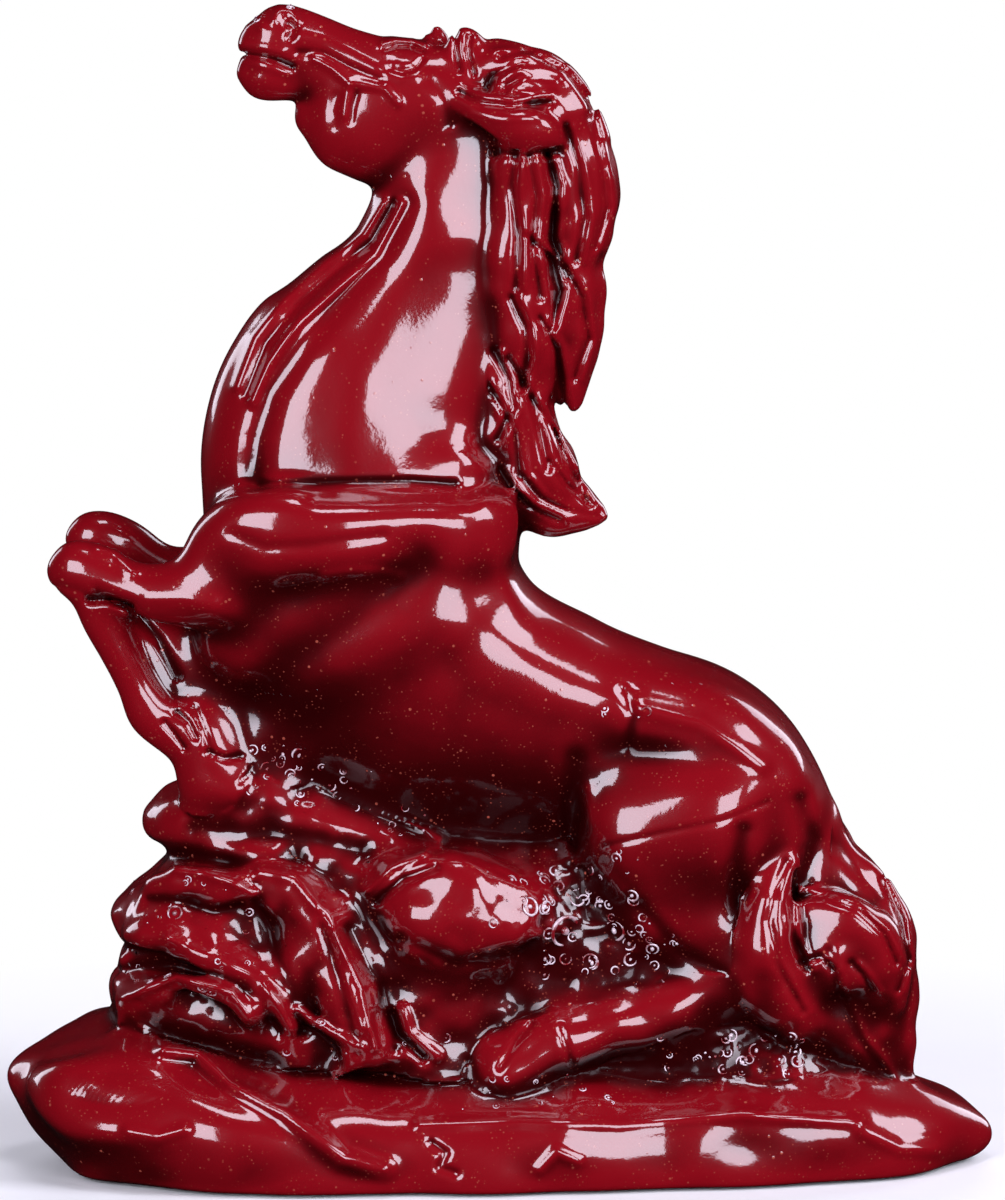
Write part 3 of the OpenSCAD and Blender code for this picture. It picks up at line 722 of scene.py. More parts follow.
# The strands of the tail on the far side, all of one width and depth.
FAR_TAIL_LINES = [
    [(820, 850), (850, 900), (872, 950), (888, 1010)],
    [(800, 880), (826, 930), (846, 990), (866, 1050)],
    [(850, 850), (884, 900), (902, 950), (910, 1000)],
    [(784, 880), (800, 940), (820, 1000), (850, 1050)],
]
ROCK_LINES = [
    ([(160, 852), (190, 856), (240, 862), (300, 858)], 10, 3.2),
    ([(176, 868), (205, 872), (232, 880), (254, 892)], 6, -4.0),
    ([(150, 900), (180, 900), (215, 912), (240, 905)], 8, 2.6),
    ([(112, 946), (150, 948), (190, 944), (240, 962), (280, 985)], 8, 3.0),
    ([(169, 938), (226, 958), (264, 978), (292, 1026)], 7, -4.0),
    ([(120, 972), (170, 966), (220, 976), (262, 1000), (280, 1030)], 8, 3.0),
    ([(123, 998), (177, 975), (234, 990), (250, 1016)], 6, -4.0),
    ([(252, 886), (270, 930), (288, 980), (302, 1030)], 9, 3.6),
    ([(262, 868), (296, 876), (330, 922), (346, 970), (362, 1026)], 8, -4.0),
    ([(322, 915), (336, 960), (350, 1010), (360, 1050)], 7, 3.0),
    ([(336, 930), (362, 985), (376, 1046)], 5, -4.5),
    ([(350, 930), (380, 985), (396, 1046)], 9, 3.0),
    ([(298, 1008), (330, 1030), (362, 1046)], 6, -3.5),
    ([(404, 1008), (412, 1032), (438, 1054)], 6, -4.0),
    ([(392, 1012), (400, 1034), (424, 1056)], 5, 4.0),
    ([(368, 888), (392, 866), (426, 850)], 5, -3.6),
    ([(378, 900), (404, 878), (436, 866)], 5, 4.0),
    ([(404, 936), (460, 960), (520, 950), (544, 918)], 9, 3.4),
    ([(240, 745), (300, 762), (370, 800), (440, 838)], 6, -3.0),
    ([(196, 826), (240, 836), (300, 836), (360, 850)], 14, 4.0),
]
PLINTH_LINES = [
    ([(165, 1046), (200, 1051), (232, 1080), (286, 1108), (345, 1154), (385, 1166)], 11, -8.0),
    ([(130, 1128), (160, 1134), (186, 1126)], 6, -3.0),
    ([(420, 1122), (520, 1118), (620, 1122), (740, 1112), (860, 1120)], 7, -3.0),
    ([(432, 1140), (446, 1150), (440, 1164), (456, 1170)], 5, 3.0),
    ([(540, 1166), (556, 1148), (578, 1158)], 6, -3.0),
    ([(860, 1128), (900, 1148), (936, 1150)], 8, -3.0),
    ([(300, 1066), (380, 1076), (460, 1072)], 12, 3.0),
]
# Places pushed in or out: across, down, depth, size or sizes, and how far (negative outward).
HEAD_BUMPS = [(405, 61, -40, (10, 9, 9), -3.8), (268, 82, -22, (16, 10, 12), -2.5)]
NECK_BUMPS = [
    (420, 215, -50, (34, 26, 56), -4.5), (458, 238, -52, (36, 26, 26), -4.0),
    (464, 452, -64, (28, 26, 26), -9.0),
]
BODY_BUMPS = [
    (616, 713, -90, 5, -4), (650, 718, -88, 9, -3.5), (638, 692, -90, 5, -2.5), (446, 628, -108, 26, -3.5),
    (640, 752, -112, (44, 40, 14), 4.5), (700, 762, -120, (60, 40, 22), 3.0),
    (776, 812, -108, (42, 34, 40), 6.0), (812, 888, -66, (30, 34, 22), -10.0),
]
ROCK_BUMPS = [
    (108, 1086, -165, (80, 40, 24), 12.0), (128, 1130, -180, (70, 30, 14), -4.0),
    (290, 976, -118, (20, 24, 34), -15.0), (264, 1000, -128, (14, 20, 16), -8.0),
    (755, 1106, -172, (50, 30, 20), -5.0), (755, 1146, -180, (50, 30, 20), 5.0),
    (260, 800, -140, (70, 60, 18), -6.0), (260, 844, -140, (70, 60, 18), 6.0),
    (575, 935, -140, (70, 50, 22), -6.0), (575, 985, -140, (70, 50, 22), 7.0), (416, 926, -144, 34, -7.0),
    (506, 880, -136, 34, 7.0),
]
# Where the rock is rougher: across, down, depth and the sizes of the spot.
ROUGH_SPOTS = [(590, 910, -110, (64, 60, 70)), (740, 1050, -90, (80, 70, 30))]


def strands(lines, across, share, widest=8):
    """Each groove, with the rounded strand beside it unless the groove is a wide one."""
    out = []
    for points, width, depth in lines:
        out.append((points, width, depth))
        if width < widest:
            out.append(([(x + across, y + 1) for x, y in points], width, -share * depth))
    return out


def hair_detail(f):
    """The tooled locks and the strands of the tail, and the locks that fall over the face."""
    f.draw(HAIR, strands(LOCK_LINES, 8.5, 0.5))
    f.draw(HAIR + HEAD, FORELOCK_LINES)
    f.draw(TAIL_HAIR, strands(TAIL_LINES, 8, 0.45), faces=(-1,))
    f.draw(["tail"], [(points, 6, 4.5) for points in FAR_TAIL_LINES], faces=(1,))


def head_detail(f):
    """The crest of the face, the cheek's ridge, mouth, nostril and eye."""
    f.draw(HEAD, HEAD_LINES)
    f.bumps(HEAD_BUMPS)


def neck_detail(f):
    """Tendons that fan down the throat, the fold above the arm and the creases on the arm."""
    f.draw(BODY, NECK_LINES)
    f.bumps(NECK_BUMPS)


def body_detail(f):
    """Folds and muscles of the trunk and the haunches."""
    f.draw(BODY, BODY_LINES)
    f.bumps(BODY_BUMPS)


def leg_detail(f):
    f.draw(NEAR_LEGS, LEG_LINES, faces=(-1,))


def rock_detail(f):
    """Rough and ridged rock that melts together, its ledges, folds and cracks, and the plinth's folds."""
    f.noise(90, 4.0, 3, ROCKS)
    f.noise(40, 2.2, 4, ROCKS, ridged=True)
    f.noise(22, 1.2, 8, ROCKS)
    f.melt(ROCKS + ["base_shell"], 10)
    f.melt(BODY, 7)
    f.melt(HORSE, 4.0)
    f.noise(26, 1.8, 12, ROCKS)
    f.noise(13, 0.5, 13, ROCKS)
    for spot in ROUGH_SPOTS:
        f.noise(11, 1.8, 14, ROCKS + ["base_shell"], spot=spot)
    f.bumps(ROCK_BUMPS)
    f.draw(ROCKS + ["base_shell"], ROCK_LINES)
    f.draw(["base_shell"], PLINTH_LINES)


def detail(f):
    f.noise(70, 1.5, 7, HORSE)
    f.noise(84, 7.0, 5, ["base_shell"])
    f.noise(34, 2.6, 6, ["base_shell"])
    f.noise(15, 0.8, 16, ["base_shell"])
    f.noise(30, 3.2, 9, ["near_hind_cannon", "far_hind_cannon"])
    f.noise(30, 5.0, 21, HAIR)
    f.noise(15, 2.0, 22, HAIR)
    rock_detail(f)
    body_detail(f)
    neck_detail(f)
    leg_detail(f)
    head_detail(f)
    hair_detail(f)
    f.flat(RIM)


# Blisters where trapped air broke through: a box of the drawing, how many, and their sizes.
BLISTERS = [
    ((250, 742, 300, 800), 22, (2.5, 5.0)), ((296, 764, 372, 812), 20, (2.2, 4.5)),
    ((372, 806, 444, 836), 12, (2.0, 4.0)), ((486, 860, 536, 930), 12, (2.5, 5.0)),
    ((540, 848, 640, 975), 54, (2.5, 6.5)), ((630, 915, 680, 985), 18, (2.2, 4.5)),
    ((640, 1036, 730, 1072), 14, (2.2, 4.5)), ((718, 1034, 804, 1074), 34, (2.5, 6.0)),
    ((130, 878, 258, 930), 12, (2.2, 4.5)), ((128, 955, 262, 1012), 14, (2.2, 4.5)),
    ((286, 1006, 450, 1058), 16, (2.5, 5.0)), ((486, 1050, 620, 1110), 10, (2.2, 4.0)),
    ((430, 1076, 700, 1110), 10, (2.2, 4.0)), ((600, 706, 660, 724), 5, (3.0, 5.0)),
    ((256, 10, 300, 40), 4, (2.5, 4.0)),
]
# Larger blisters, one by one: across, down and radius.
RINGS = [
    (565, 930, 15), (577, 897, 8), (614, 930, 10), (530, 905, 9), (590, 960, 7), (545, 958, 6),
    (756, 1050, 7), (300, 755, 7), (330, 785, 6), (652, 948, 6), (742, 1062, 6), (268, 768, 6),
    (556, 870, 6), (600, 905, 5), (176, 912, 7), (212, 990, 6),
]


# Lines of sight start this far out in depth and end after this many steps.
SIGHT_START, SIGHT_STEPS = 200.0, 400


def find_surface(f, spots, face):
    """Where lines of sight through places in the drawing meet the figure, and the heading outward there."""
    spots = np.array(spots, float)
    w = np.full(len(spots), SIGHT_START * face)
    found = np.zeros(len(spots), bool)
    for _ in range(SIGHT_STEPS):
        at = np.stack([spots[:, 0] - MID_X, w, (GROUND_Y - spots[:, 1] + face * w * SIN) / COS], 1)
        value = sample(f.d, (at - LOW) / STEP)
        found |= value <= 0
        w = np.where(found, w, w - face * np.clip(np.abs(value) * 0.5, 0.5, 3))
    out = unit(slope(f.d, (at - LOW) / STEP))
    return at, out, found & (np.abs(w) > 4)


def blisters(f):
    """Rings and beads standing on the glaze, as one mesh for the near side and one for the far side."""
    rng = np.random.default_rng(11)
    spots, sizes = [], []
    for box, count, (small, large) in BLISTERS:
        for _ in range(count):
            spots.append((rng.uniform(box[0], box[2]), rng.uniform(box[1], box[3])))
            sizes.append(rng.uniform(small, large))
    for x, y, r in RINGS:
        spots.append((x, y))
        sizes.append(r)
    made = []
    for face in (-1, 1):
        at, out, found = find_surface(f, spots, face)
        points, faces = [], []
        for c, n, r, ok in zip(at, out, sizes, found):
            if not ok:
                continue
            u = np.cross(n, rng.normal(size=3))
            u /= np.linalg.norm(u)
            v = np.cross(n, u)
            if r > 5 or rng.random() < 0.45:
                arc(points, faces, c, n, u, v, r, 0.13 * r + 0.35, rng.uniform(0.35, 1.0) if r < 8 else 0.9)
            if r > 5 or rng.random() < 0.6:
                bead(points, faces, c, n, u, rng.uniform(0.6, 1.0) * v, rng.uniform(0.2, 0.45) * r)
        made.append((np.array(points), faces))
    return made


def arc(points, faces, c, n, u, v, r, thick, share, steps=18, across=6):
    """Part of a ring that thins to a closed point at each end."""
    start = len(points)
    for i in range(steps + 1):
        a = 2 * math.pi * share * i / steps
        out = math.cos(a) * u + math.sin(a) * v
        t = thick * math.sqrt(max(math.sin(math.pi * i / steps), 0.02))
        for j in range(across):
            b = 2 * math.pi * j / across
            points.append(c + out * (r + t * math.cos(b)) + n * t * (math.sin(b) + 0.1))
    for i in range(steps):
        for j in range(across):
            m = (j + 1) % across
            row, after = start + i * across, start + (i + 1) * across
            faces.append([row + j, after + j, after + m, row + m])
    faces.append([start + j for j in range(across)])
    faces.append([start + steps * across + j for j in reversed(range(across))])


def bead(points, faces, c, n, u, v, r, around=10, rows=4):
    """A low closed dome, standing half in the glaze."""
    start = len(points)
    for row in range(1, rows):
        b = math.pi * row / rows
        for i in range(around):
            a = 2 * math.pi * i / around
            out = math.cos(a) * u + math.sin(a) * v
            points.append(c + r * math.sin(b) * out + 0.8 * r * math.cos(b) * n)
    top, low = len(points), len(points) + 1
    points.append(c + 0.8 * r * n)
    points.append(c - 0.8 * r * n)
    for i in range(around):
        k = (i + 1) % around
        faces.append([start + i, start + k, top])
        last = start + (rows - 2) * around
        faces.append([last + k, last + i, low])
        for row in range(rows - 2):
            a, b = start + row * around, start + (row + 1) * around
            faces.append([a + i, b + i, b + k, a + k])


def corners_of_skins(f, owner):
    """A corner in each cell where castings or air meet: its place, if it is outside, and cells' numbers."""
    n = np.array(owner.shape) - 1
    mixed = np.zeros(n, bool)
    first = owner[:-1, :-1, :-1]
    for i, j, k in CORNERS[1:]:
        mixed |= owner[i : i + n[0], j : j + n[1], k : k + n[2]] != first
    cells = np.argwhere(mixed)
    index = np.full(n, -1, np.int32)
    index[tuple(cells.T)] = np.arange(len(cells))
    value = {c: f.d[tuple((cells + c).T)] for c in CORNERS}
    owned = {c: owner[tuple((cells + c).T)] for c in CORNERS}
    outer_spot, inner_spot = np.zeros((2, len(cells), 3), np.float32)
    outer_hits, inner_hits = np.zeros((2, len(cells)), np.float32)
    for axis in range(3):
        for low in CORNERS:
            if low[axis]:
                continue
            high = tuple(1 if k == axis else low[k] for k in range(3))
            a, b = value[low], value[high]
            cross = (a < 0) != (b < 0)
            spot = np.tile(np.array(low, np.float32), (len(cells), 1))
            spot[:, axis] = np.where(cross, a / np.where(cross, a - b, 1), 0.5)
            outer_spot += spot * cross[:, None]
            outer_hits += cross
            change = ~cross & (owned[low] != owned[high])
            inner_spot += spot * change[:, None]
            inner_hits += change
    outer = outer_hits > 0
    hits = np.where(outer, outer_hits, np.maximum(inner_hits, 1))
    verts = np.where(outer[:, None], outer_spot, inner_spot) / hits[:, None]
    verts += cells
    return verts, outer, index


def surface(f):
    """Square-faced skins of the castings. Each is closed, and neighbours share corners where they meet."""
    owner = np.where(f.d < 0, f.label + 1, 0).astype(np.int8)
    verts, outer, index = corners_of_skins(f, owner)
    n = index.shape
    quads, label, shown = [], [], []
    for axis in range(3):
        o = [a for a in range(3) if a != axis]
        s0 = [slice(1, n[i]) if i in o else slice(0, n[i]) for i in range(3)]
        s1 = list(s0)
        s1[axis] = slice(1, n[axis] + 1)
        a, b = owner[tuple(s0)], owner[tuple(s1)]
        at = np.argwhere(a != b)
        below, above = a[tuple(at.T)], b[tuple(at.T)]
        q = []
        for back in ((0, 0), (1, 0), (1, 1), (0, 1)):
            cell = at.copy()
            cell[:, o] += 1 - np.array(back)
            q.append(index[tuple(cell.T)])
        q = np.stack(q, 1)
        if axis == 1:
            q = q[:, ::-1]
        for who, other, faces in ((below, above, q), (above, below, q[:, ::-1])):
            keep = who > 0
            quads.append(faces[keep])
            label.append(who[keep].astype(int) - 1)
            shown.append(other[keep] == 0)
    return verts, outer, np.concatenate(quads), np.concatenate(label), np.concatenate(shown)


def sample(volume, at):
    """A grid's value between its places."""
    i = np.clip(at.astype(int), 0, np.array(volume.shape) - 2)
    f = at - i
    share = (1 - f, f)
    out = 0
    for a, b, c in CORNERS:
        w = share[a][:, 0] * share[b][:, 1] * share[c][:, 2]
        out = out + w * volume[i[:, 0] + a, i[:, 1] + b, i[:, 2] + c]
    return out


def slope(volume, at, reach=0.75):
    """How a grid's value changes along each axis."""
    g = np.empty((len(at), 3))
    for axis, e in enumerate(reach * np.eye(3)):
        g[:, axis] = sample(volume, at + e) - sample(volume, at - e)
    return g / (2 * reach)


def build_pieces():
    """Sculpts the figure and skins it, with the corners drawn onto the true surface."""
    f = sculpt()
    detail(f)
    recess(f)
    verts, outer, quads, label, shown = surface(f)
    for _ in range(2):
        g = slope(f.d, verts)
        v = sample(f.d, verts)
        move = -v[:, None] * g / np.maximum((g * g).sum(1), 0.2 * STEP)[:, None]
        length = np.linalg.norm(move, axis=1)[:, None]
        verts += np.where(outer[:, None], move * np.minimum(1, 0.5 / np.maximum(length, 1e-6)), 0)
    normal = unit(slope(f.d, verts))
    places = (LOW + verts * STEP) * MM / 1000
    return f, places, quads, label, shown, normal, glaze_pooling_and_painted_shade(f, verts, normal)


def recess(f):
    """Opens the plinth from below for the foot plate, whose outline is read from its CAD solid."""
    plate = np.array([v.co for v in bpy.data.objects["base_plate"].data.vertices]) * 1000 / MM
    turn = np.arctan2(plate[:, 1], plate[:, 0])
    away = np.hypot(plate[:, 0], plate[:, 1])
    order = np.argsort(turn)
    x, y = AXES[0][:, None], AXES[1][None, :]
    edge = np.interp(np.arctan2(y, x), turn[order], away[order], period=2 * math.pi)
    within = (np.hypot(x, y) - edge)[:, :, None]
    roof = 0.5 * (plate[:, 2].min() + plate[:, 2].max())
    hollow = np.maximum(within, AXES[2][None, None, :] - roof)
    low = AXES[2] < roof + 20
    f.d[:, :, low] = np.maximum(f.d[:, :, low], -hollow[:, :, low])


# Painted shade and painted light: spots drawn as more glaze (darker) or less (lighter), such as under the arm
# and the belly: across, down, depth, sizes of the spot, how much.
PAINTED_SHADE_SPOTS = [
    (300, 690, -90, (60, 60, 55), 0.3), (490, 800, -100, (120, 60, 40), 0.25),
    (585, 900, -100, (60, 50, 75), 0.3), (470, 850, -110, (80, 50, 40), 0.15),
    (720, 1050, -90, (90, 60, 35), 0.3), (650, 1000, -100, (50, 50, 30), 0.2),
    (850, 1030, -60, (50, 60, 50), 0.12), (500, 1095, -100, (400, 80, 25), 0.1),
    (40, 1120, -50, (50, 60, 40), 0.2), (650, 775, -120, (50, 40, 40), 0.15),
    (290, 820, -110, (60, 40, 35), 0.2), (475, 430, -70, (30, 60, 60), -0.15),
    (300, 1060, -150, (70, 50, 40), -0.3), (140, 1010, -110, (40, 60, 40), -0.3),
]


def glaze_pooling_and_painted_shade(f, verts, normal):
    """How thick the glaze lies, with painted shade and light in it: it runs off edges and the upper sides and
    gathers in the hollows, and the same terms paint shade on the downward sides, the low parts and the
    creases.
    """
    even = COUNT // 2 * 2
    solid = np.clip(0.5 - f.d[: even[0], : even[1], : even[2]] / STEP, 0, 1)
    solid = solid.reshape(even[0] // 2, 2, even[1] // 2, 2, even[2] // 2, 2).mean((1, 3, 5))
    # Painted shade: sides that face down and low places come out thicker and darker, upper sides thinner and
    # lighter.
    thick = 0.2 - 0.42 * normal[:, 2] - 0.2 * verts[:, 2] * STEP / HIGH[2]
    at = verts * STEP + LOW
    # Painted shade and painted light at the listed spots.
    for x, y, w, size, more in PAINTED_SHADE_SPOTS:
        away = at - place(x, y, w)
        away[:, 1] = np.abs(at[:, 1]) + w
        thick = thick + more * np.exp(-((away / size) ** 2).sum(1))
    # Hollows and creases come out darker and edges lighter: partly glaze that pools, partly painted shade.
    for reach, weight in ((9, 0.8), (24, 1.5), (54, 1.0)):
        half = max(1, round(0.5 * reach / STEP))
        near = spread(spread(solid, max(1, half - half // 2)), max(1, half // 2))
        thick = thick + weight * (sample(near, 0.5 * verts - 0.25) - 0.5)
    return thick


def in_scene(name, data):
    ob = bpy.data.objects.new(name, data)
    bpy.context.scene.collection.objects.link(ob)
    return ob


def smooth_mesh(name, points, faces, finish):
    me = bpy.data.meshes.new(name)
    me.from_pydata(points.tolist(), [], faces)
    me.polygons.foreach_set("use_smooth", np.ones(len(me.polygons), bool))
    me.materials.append(finish)
    return me


def casting(name, places, quads, shown, normal, thick, finish):
    """A casting as a closed mesh, with the sculpt's own shading outside and flat shading on inner walls."""
    used, faces = np.unique(quads, return_inverse=True)
    faces = faces.reshape(-1, 4)
    points = places[used]
    me = smooth_mesh(name, points, faces.tolist(), finish)
    p = points[faces]
    flat = unit(np.cross(p[:, 2] - p[:, 0], p[:, 3] - p[:, 1]), 1e-12)
    corner = np.where(shown[:, None, None], normal[used][faces], flat[:, None, :])
    me.normals_split_custom_set(corner.reshape(-1, 3))
    # The glaze depth carries painted shade as well as pooled glaze.
    coat = me.attributes.new("glaze_depth_and_shade", "FLOAT", "POINT")
    coat.data.foreach_set("value", thick[used].astype(np.float32))
    return in_scene(name, me)


def plug(tree, node, sockets):
    """Sets a node's sockets, given by name or number, to constants or links them to outputs."""
    for key, value in sockets.items():
        if isinstance(value, bpy.types.NodeSocket):
            tree.links.new(value, node.inputs[key])
        else:
            node.inputs[key].default_value = value


def add(tree, kind, sockets=None, **settings):
    """A new node and its outputs."""
    node = tree.nodes.new("ShaderNode" + kind)
    for key, value in settings.items():
        setattr(node, key, value)
    plug(tree, node, sockets or {})
    return node.outputs


def material(name):
    """An empty material: its node tree has the shader, the output and the object's own coordinates."""
    made = bpy.data.materials.new(name)
    made.use_nodes = True
    tree = made.node_tree
    tree.nodes.clear()
    shader = tree.nodes.new("ShaderNodeBsdfPrincipled")
    add(tree, "OutputMaterial", {"Surface": shader.outputs[0]})
    add(tree, "TexCoord")
    return made, tree, shader


def coords(tree):
    return tree.nodes["Texture Coordinate"].outputs["Object"]


def noise_texture(tree, scale, detail=2.0, roughness=0.5):
    sockets = {"Vector": coords(tree), "Scale": scale, "Detail": detail, "Roughness": roughness}
    return add(tree, "TexNoise", sockets)[0]


def cell_texture(tree, scale):
    return add(tree, "TexVoronoi", {"Vector": coords(tree), "Scale": scale})["Distance"]


def maths(tree, operation, *values):
    return add(tree, "Math", dict(enumerate(values)), operation=operation)[0]


def mix_colours(tree, share, first, second):
    """A colour between two others."""
    return add(tree, "Mix", {0: share, 6: first, 7: second}, data_type="RGBA")[2]


def mix_shaders(tree, share, first, second):
    """A shader between two others."""
    return add(tree, "MixShader", {0: share, 1: first, 2: second})[0]


def bump(tree, height, strength, distance, **below):
    return add(tree, "Bump", {"Height": height, "Strength": strength, "Distance": distance, **below})[0]


def ramp(tree, source, *stops):
    """A colour ramp. A stop is a place and a colour, or a place and a level of grey."""
    made = tree.nodes.new("ShaderNodeValToRGB")
    while len(made.color_ramp.elements) < len(stops):
        made.color_ramp.elements.new(0.5)
    for element, (at, colour) in zip(made.color_ramp.elements, stops):
        element.position = at
        element.color = (*(colour if isinstance(colour, tuple) else (colour,) * 3), 1)
    tree.links.new(source, made.inputs[0])
    return made.outputs[0]


# The glaze from thin to thick: its depth and how much red it sends back. As the depth carries painted shade,
# the darker reds paint that shade.
GLAZE = [(0.1, 0.18), (0.27, 0.13), (0.34, 0.09), (0.42, 0.055), (0.5, 0.036), (0.65, 0.023), (0.95, 0.015)]
GLAZE_AND_SHADE_COLOURS = [(depth, (red, 0.01 * red, 0.03 * red)) for depth, red in GLAZE]
SPECK_COLOUR = (0.34, 0.07, 0.045, 1)


def red_glaze():
    """Clouded red, darker where it lies thick and where shade is painted in, with two sizes of specks under a
    clear and uneven coat.
    """
    made, tree, shader = material("red_glaze")
    # The depth brings in the painted shade.
    depth = add(tree, "Attribute", attribute_name="glaze_depth_and_shade")["Fac"]
    clouded = maths(tree, "MULTIPLY_ADD", noise_texture(tree, 60.0, 4.0), 0.34, depth)
    glaze = ramp(tree, clouded, *GLAZE_AND_SHADE_COLOURS)
    dots = ramp(tree, cell_texture(tree, 620.0), (0.0, 1), (0.1, 1), (0.17, 0))
    specks = maths(tree, "MULTIPLY", dots, ramp(tree, noise_texture(tree, 260.0), (0.56, 0), (0.66, 1)))
    dust = ramp(tree, cell_texture(tree, 1500.0), (0.0, 0.6), (0.14, 0.5), (0.24, 0))
    drift = maths(tree, "MULTIPLY", dust, ramp(tree, noise_texture(tree, 420.0), (0.5, 0), (0.62, 1)))
    colour = mix_colours(tree, maths(tree, "MAXIMUM", specks, drift), glaze, SPECK_COLOUR)
    # Where the glaze depth is high, in the hollows and where shade is painted, the coat fades, which takes
    # away reflections there as painted shade.
    coat_dimmed_in_shade = ramp(tree, depth, (0.3, 1), (0.46, 0.35), (0.62, 0.05))
    wave = bump(tree, noise_texture(tree, 130.0), 0.12, 0.0006)
    peel = bump(tree, noise_texture(tree, 1700.0), 0.16, 0.00006, Normal=wave)
    skin = bump(tree, specks, 0.25, 0.00008, Normal=peel)
    plug(tree, shader, {
        "Base Color": colour, "Roughness": 0.3, "Specular IOR Level": 0.06, "Normal": skin,
        "Coat Weight": coat_dimmed_in_shade, "Coat Roughness": 0.07, "Coat IOR": 1.6, "Coat Normal": skin,
    })
    return made


def blister_rims_and_painted_glints():
    """Broken rims of the blisters: thin, pale and milky, partly the broken glaze's own colour and partly
    painted highlight for the glints on them.
    """
    made, tree, shader = material("blister_rims_and_painted_glints")
    # Painted highlight: the pale patches stand in for glints on the rims, as well as for pale broken glaze.
    patch = ramp(tree, noise_texture(tree, 500.0), (0.42, (0.16, 0.002, 0.006)), (0.56, (0.62, 0.5, 0.55)))
    plug(tree, shader, {"Base Color": patch, "Roughness": 0.3, "Coat Weight": 1.0, "Coat Roughness": 0.06})
    return made


def bisque():
    """Bare fired clay."""
    made, tree, shader = material("bisque")
    grain = noise_texture(tree, 420.0, 4.0)
    colour = ramp(tree, grain, (0.35, (0.62, 0.52, 0.42)), (0.7, (0.80, 0.71, 0.60)))
    plug(tree, shader, {"Base Color": colour, "Roughness": 0.85, "Normal": bump(tree, grain, 0.3, 0.0002)})
    return made


def felt():
    """Black felt."""
    made, tree, shader = material("felt")
    fuzz = noise_texture(tree, 1500.0, 5.0, 0.7)
    colour = ramp(tree, fuzz, (0.3, (0.015, 0.015, 0.017)), (0.7, (0.07, 0.07, 0.075)))
    plug(tree, shader, {"Base Color": colour, "Roughness": 0.95, "Normal": bump(tree, fuzz, 0.8, 0.0003)})
    return made


def studio():
    """A dim room, dimmer still in the glaze, that the camera sees as plain white."""
    scene = bpy.context.scene
    scene.view_settings.view_transform = "Standard"
    scene.world = bpy.data.worlds.new("studio")
    scene.world.use_nodes = True
    tree = scene.world.node_tree
    tree.nodes.clear()
    path = add(tree, "LightPath")
    room = add(tree, "Background", {0: (0.9, 0.9, 1.0, 1), 1: 0.04})[0]
    dark = add(tree, "Background", {0: (0.9, 0.5, 0.6, 1), 1: 0.008})[0]
    white = add(tree, "Background", {0: (1, 1, 1, 1), 1: 1.0})[0]
    away = mix_shaders(tree, path["Is Glossy Ray"], room, dark)
    add(tree, "OutputWorld", {0: mix_shaders(tree, path["Is Camera Ray"], away, white)})


# Each softbox: direction from the figure (right of the camera, above level), metres away, size, radiance.
AIM = np.array([0, 0, 0.09])
LAMP_COLOUR = (0.88, 0.87, 1.0)
FILL = ("fill", 180, 12, 1.5, (0.9, 0.5), 11.0)
LAMPS = [
    ("front", 27, 11, 1.5, (0.64, 0.7), 7.8), ("left", -32, 15, 1.5, (0.76, 0.9), 7.8),
    ("right", 63, 30, 1.5, (0.7, 0.96), 7.8), ("top", 20, 76, 1.3, (0.35, 0.3), 7.8),
    ("back_left", -132, 16, 1.5, (0.4, 0.8), 3.6), ("back_right", 138, 20, 1.5, (0.5, 0.9), 3.6),
]


def away_from(centre, distance, azimuth, height):
    """A place at a distance from the centre, and the turn that looks back from it."""
    a, e = math.radians(azimuth), math.radians(height)
    heading = np.array([math.sin(a) * math.cos(e), -math.cos(a) * math.cos(e), math.sin(e)])
    return centre + distance * heading, (math.pi / 2 - e, 0, a)


def softbox(name, azimuth, height, distance, size, radiance):
    data = bpy.data.lights.new(name, "AREA")
    data.shape = "RECTANGLE"
    data.size, data.size_y = size
    data.energy = 4 * radiance * size[0] * size[1]
    data.color = LAMP_COLOUR
    ob = in_scene(name, data)
    ob.location, ob.rotation_euler = away_from(AIM, distance, azimuth, height)
    ob.visible_camera = False
    return ob


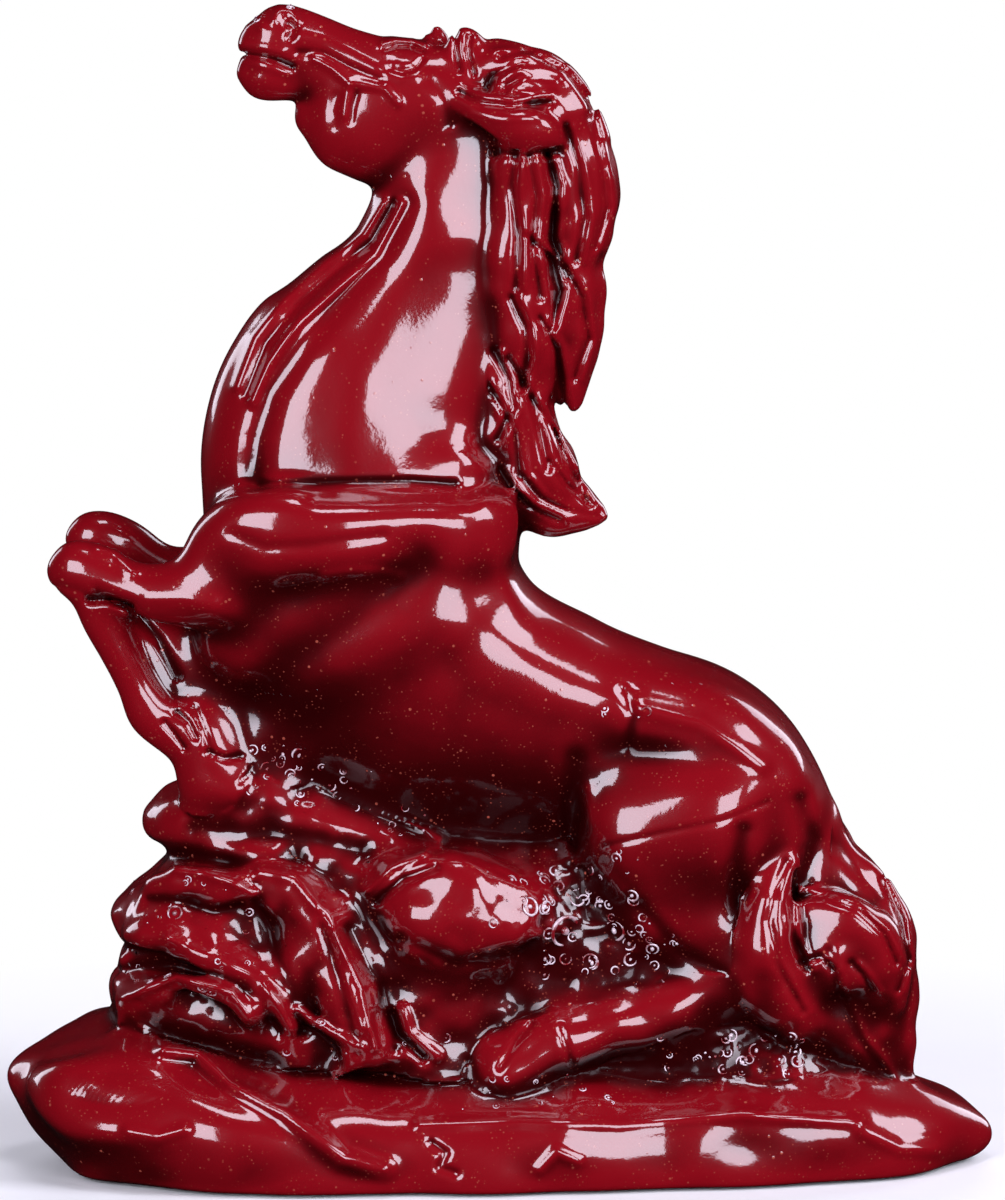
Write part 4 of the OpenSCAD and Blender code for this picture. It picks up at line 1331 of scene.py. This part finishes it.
def floor():
    """A pale sweep that fades to plain white away from the figure's own shadow."""
    made, tree, shader = material("backdrop")
    path = add(tree, "LightPath")
    camera_ray = path["Is Camera Ray"]
    pale = ramp(tree, noise_texture(tree, 30.0, 3.0), (0.3, 0.86), (0.7, 0.88))
    seen = mix_colours(tree, camera_ray, (0.12, 0.12, 0.12, 1), pale)
    plug(tree, shader, {"Base Color": seen, "Roughness": 0.9})
    far = add(tree, "VectorMath", {0: coords(tree)}, operation="LENGTH")["Value"]
    fade = maths(tree, "MULTIPLY", ramp(tree, far, (0.1, 0), (0.17, 1)), camera_ray)
    lit = mix_shaders(tree, fade, shader.outputs[0], add(tree, "Emission")[0])
    # The glaze mirrors a dim sweep, as in a dark studio.
    dim = add(tree, "Emission", {"Color": (0.008, 0.005, 0.006, 1)})[0]
    plug(tree, tree.nodes["Material Output"], {"Surface": mix_shaders(tree, path["Is Glossy Ray"], lit, dim)})
    s = 2.5
    square = np.array([(-s, -s, 0), (s, -s, 0), (s, s, 0), (-s, s, 0)])
    ob = in_scene("floor", smooth_mesh("floor", square, [(0, 1, 2, 3)], made))


# The camera: its aim and distance in metres, the photograph's width in pixels and the sensor's in mm.
CAMERA_AIM = np.array([-0.0003, 0.0, 0.0872])
CAMERA_AWAY = 2.4
PICTURE_WIDTH = 1005
SENSOR_WIDTH = 36


def camera():
    data = bpy.data.cameras.new("camera")
    data.sensor_fit = "HORIZONTAL"
    data.sensor_width = SENSOR_WIDTH
    data.lens = SENSOR_WIDTH * CAMERA_AWAY / (PICTURE_WIDTH * MM[0] / 1000)
    ob = in_scene("camera", data)
    ob.location, ob.rotation_euler = away_from(CAMERA_AIM, CAMERA_AWAY, 0, LOOKS_DOWN)
    bpy.context.scene.camera = ob


def main():
    glaze, clay, pad = red_glaze(), bisque(), felt()
    for name, finish in (("base_plate", clay), ("felt_pads", pad)):
        for held in bpy.data.objects[name].material_slots:
            held.link = "OBJECT"
            held.material = finish
    f, places, quads, label, shown, normal, thick = build_pieces()
    for i, name in enumerate(NODES):
        mine = label == i
        piece = casting("horse_" + name, places, quads[mine], shown[mine], normal, thick, glaze)
        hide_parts(name)
        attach(piece, "root")
    rim = blister_rims_and_painted_glints()
    for side, (points, faces) in zip(("near", "far"), blisters(f)):
        name = "glaze_blisters_" + side
        piece = in_scene(name, smooth_mesh(name, points * MM / 1000, faces, rim))
        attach(piece, "root")
    studio()
    floor()
    camera()
    for lamp in LAMPS:
        softbox(*lamp)
    # The fill behind the figure is only diffuse: the glaze doesn't mirror it.
    softbox(*FILL).visible_glossy = False


main()
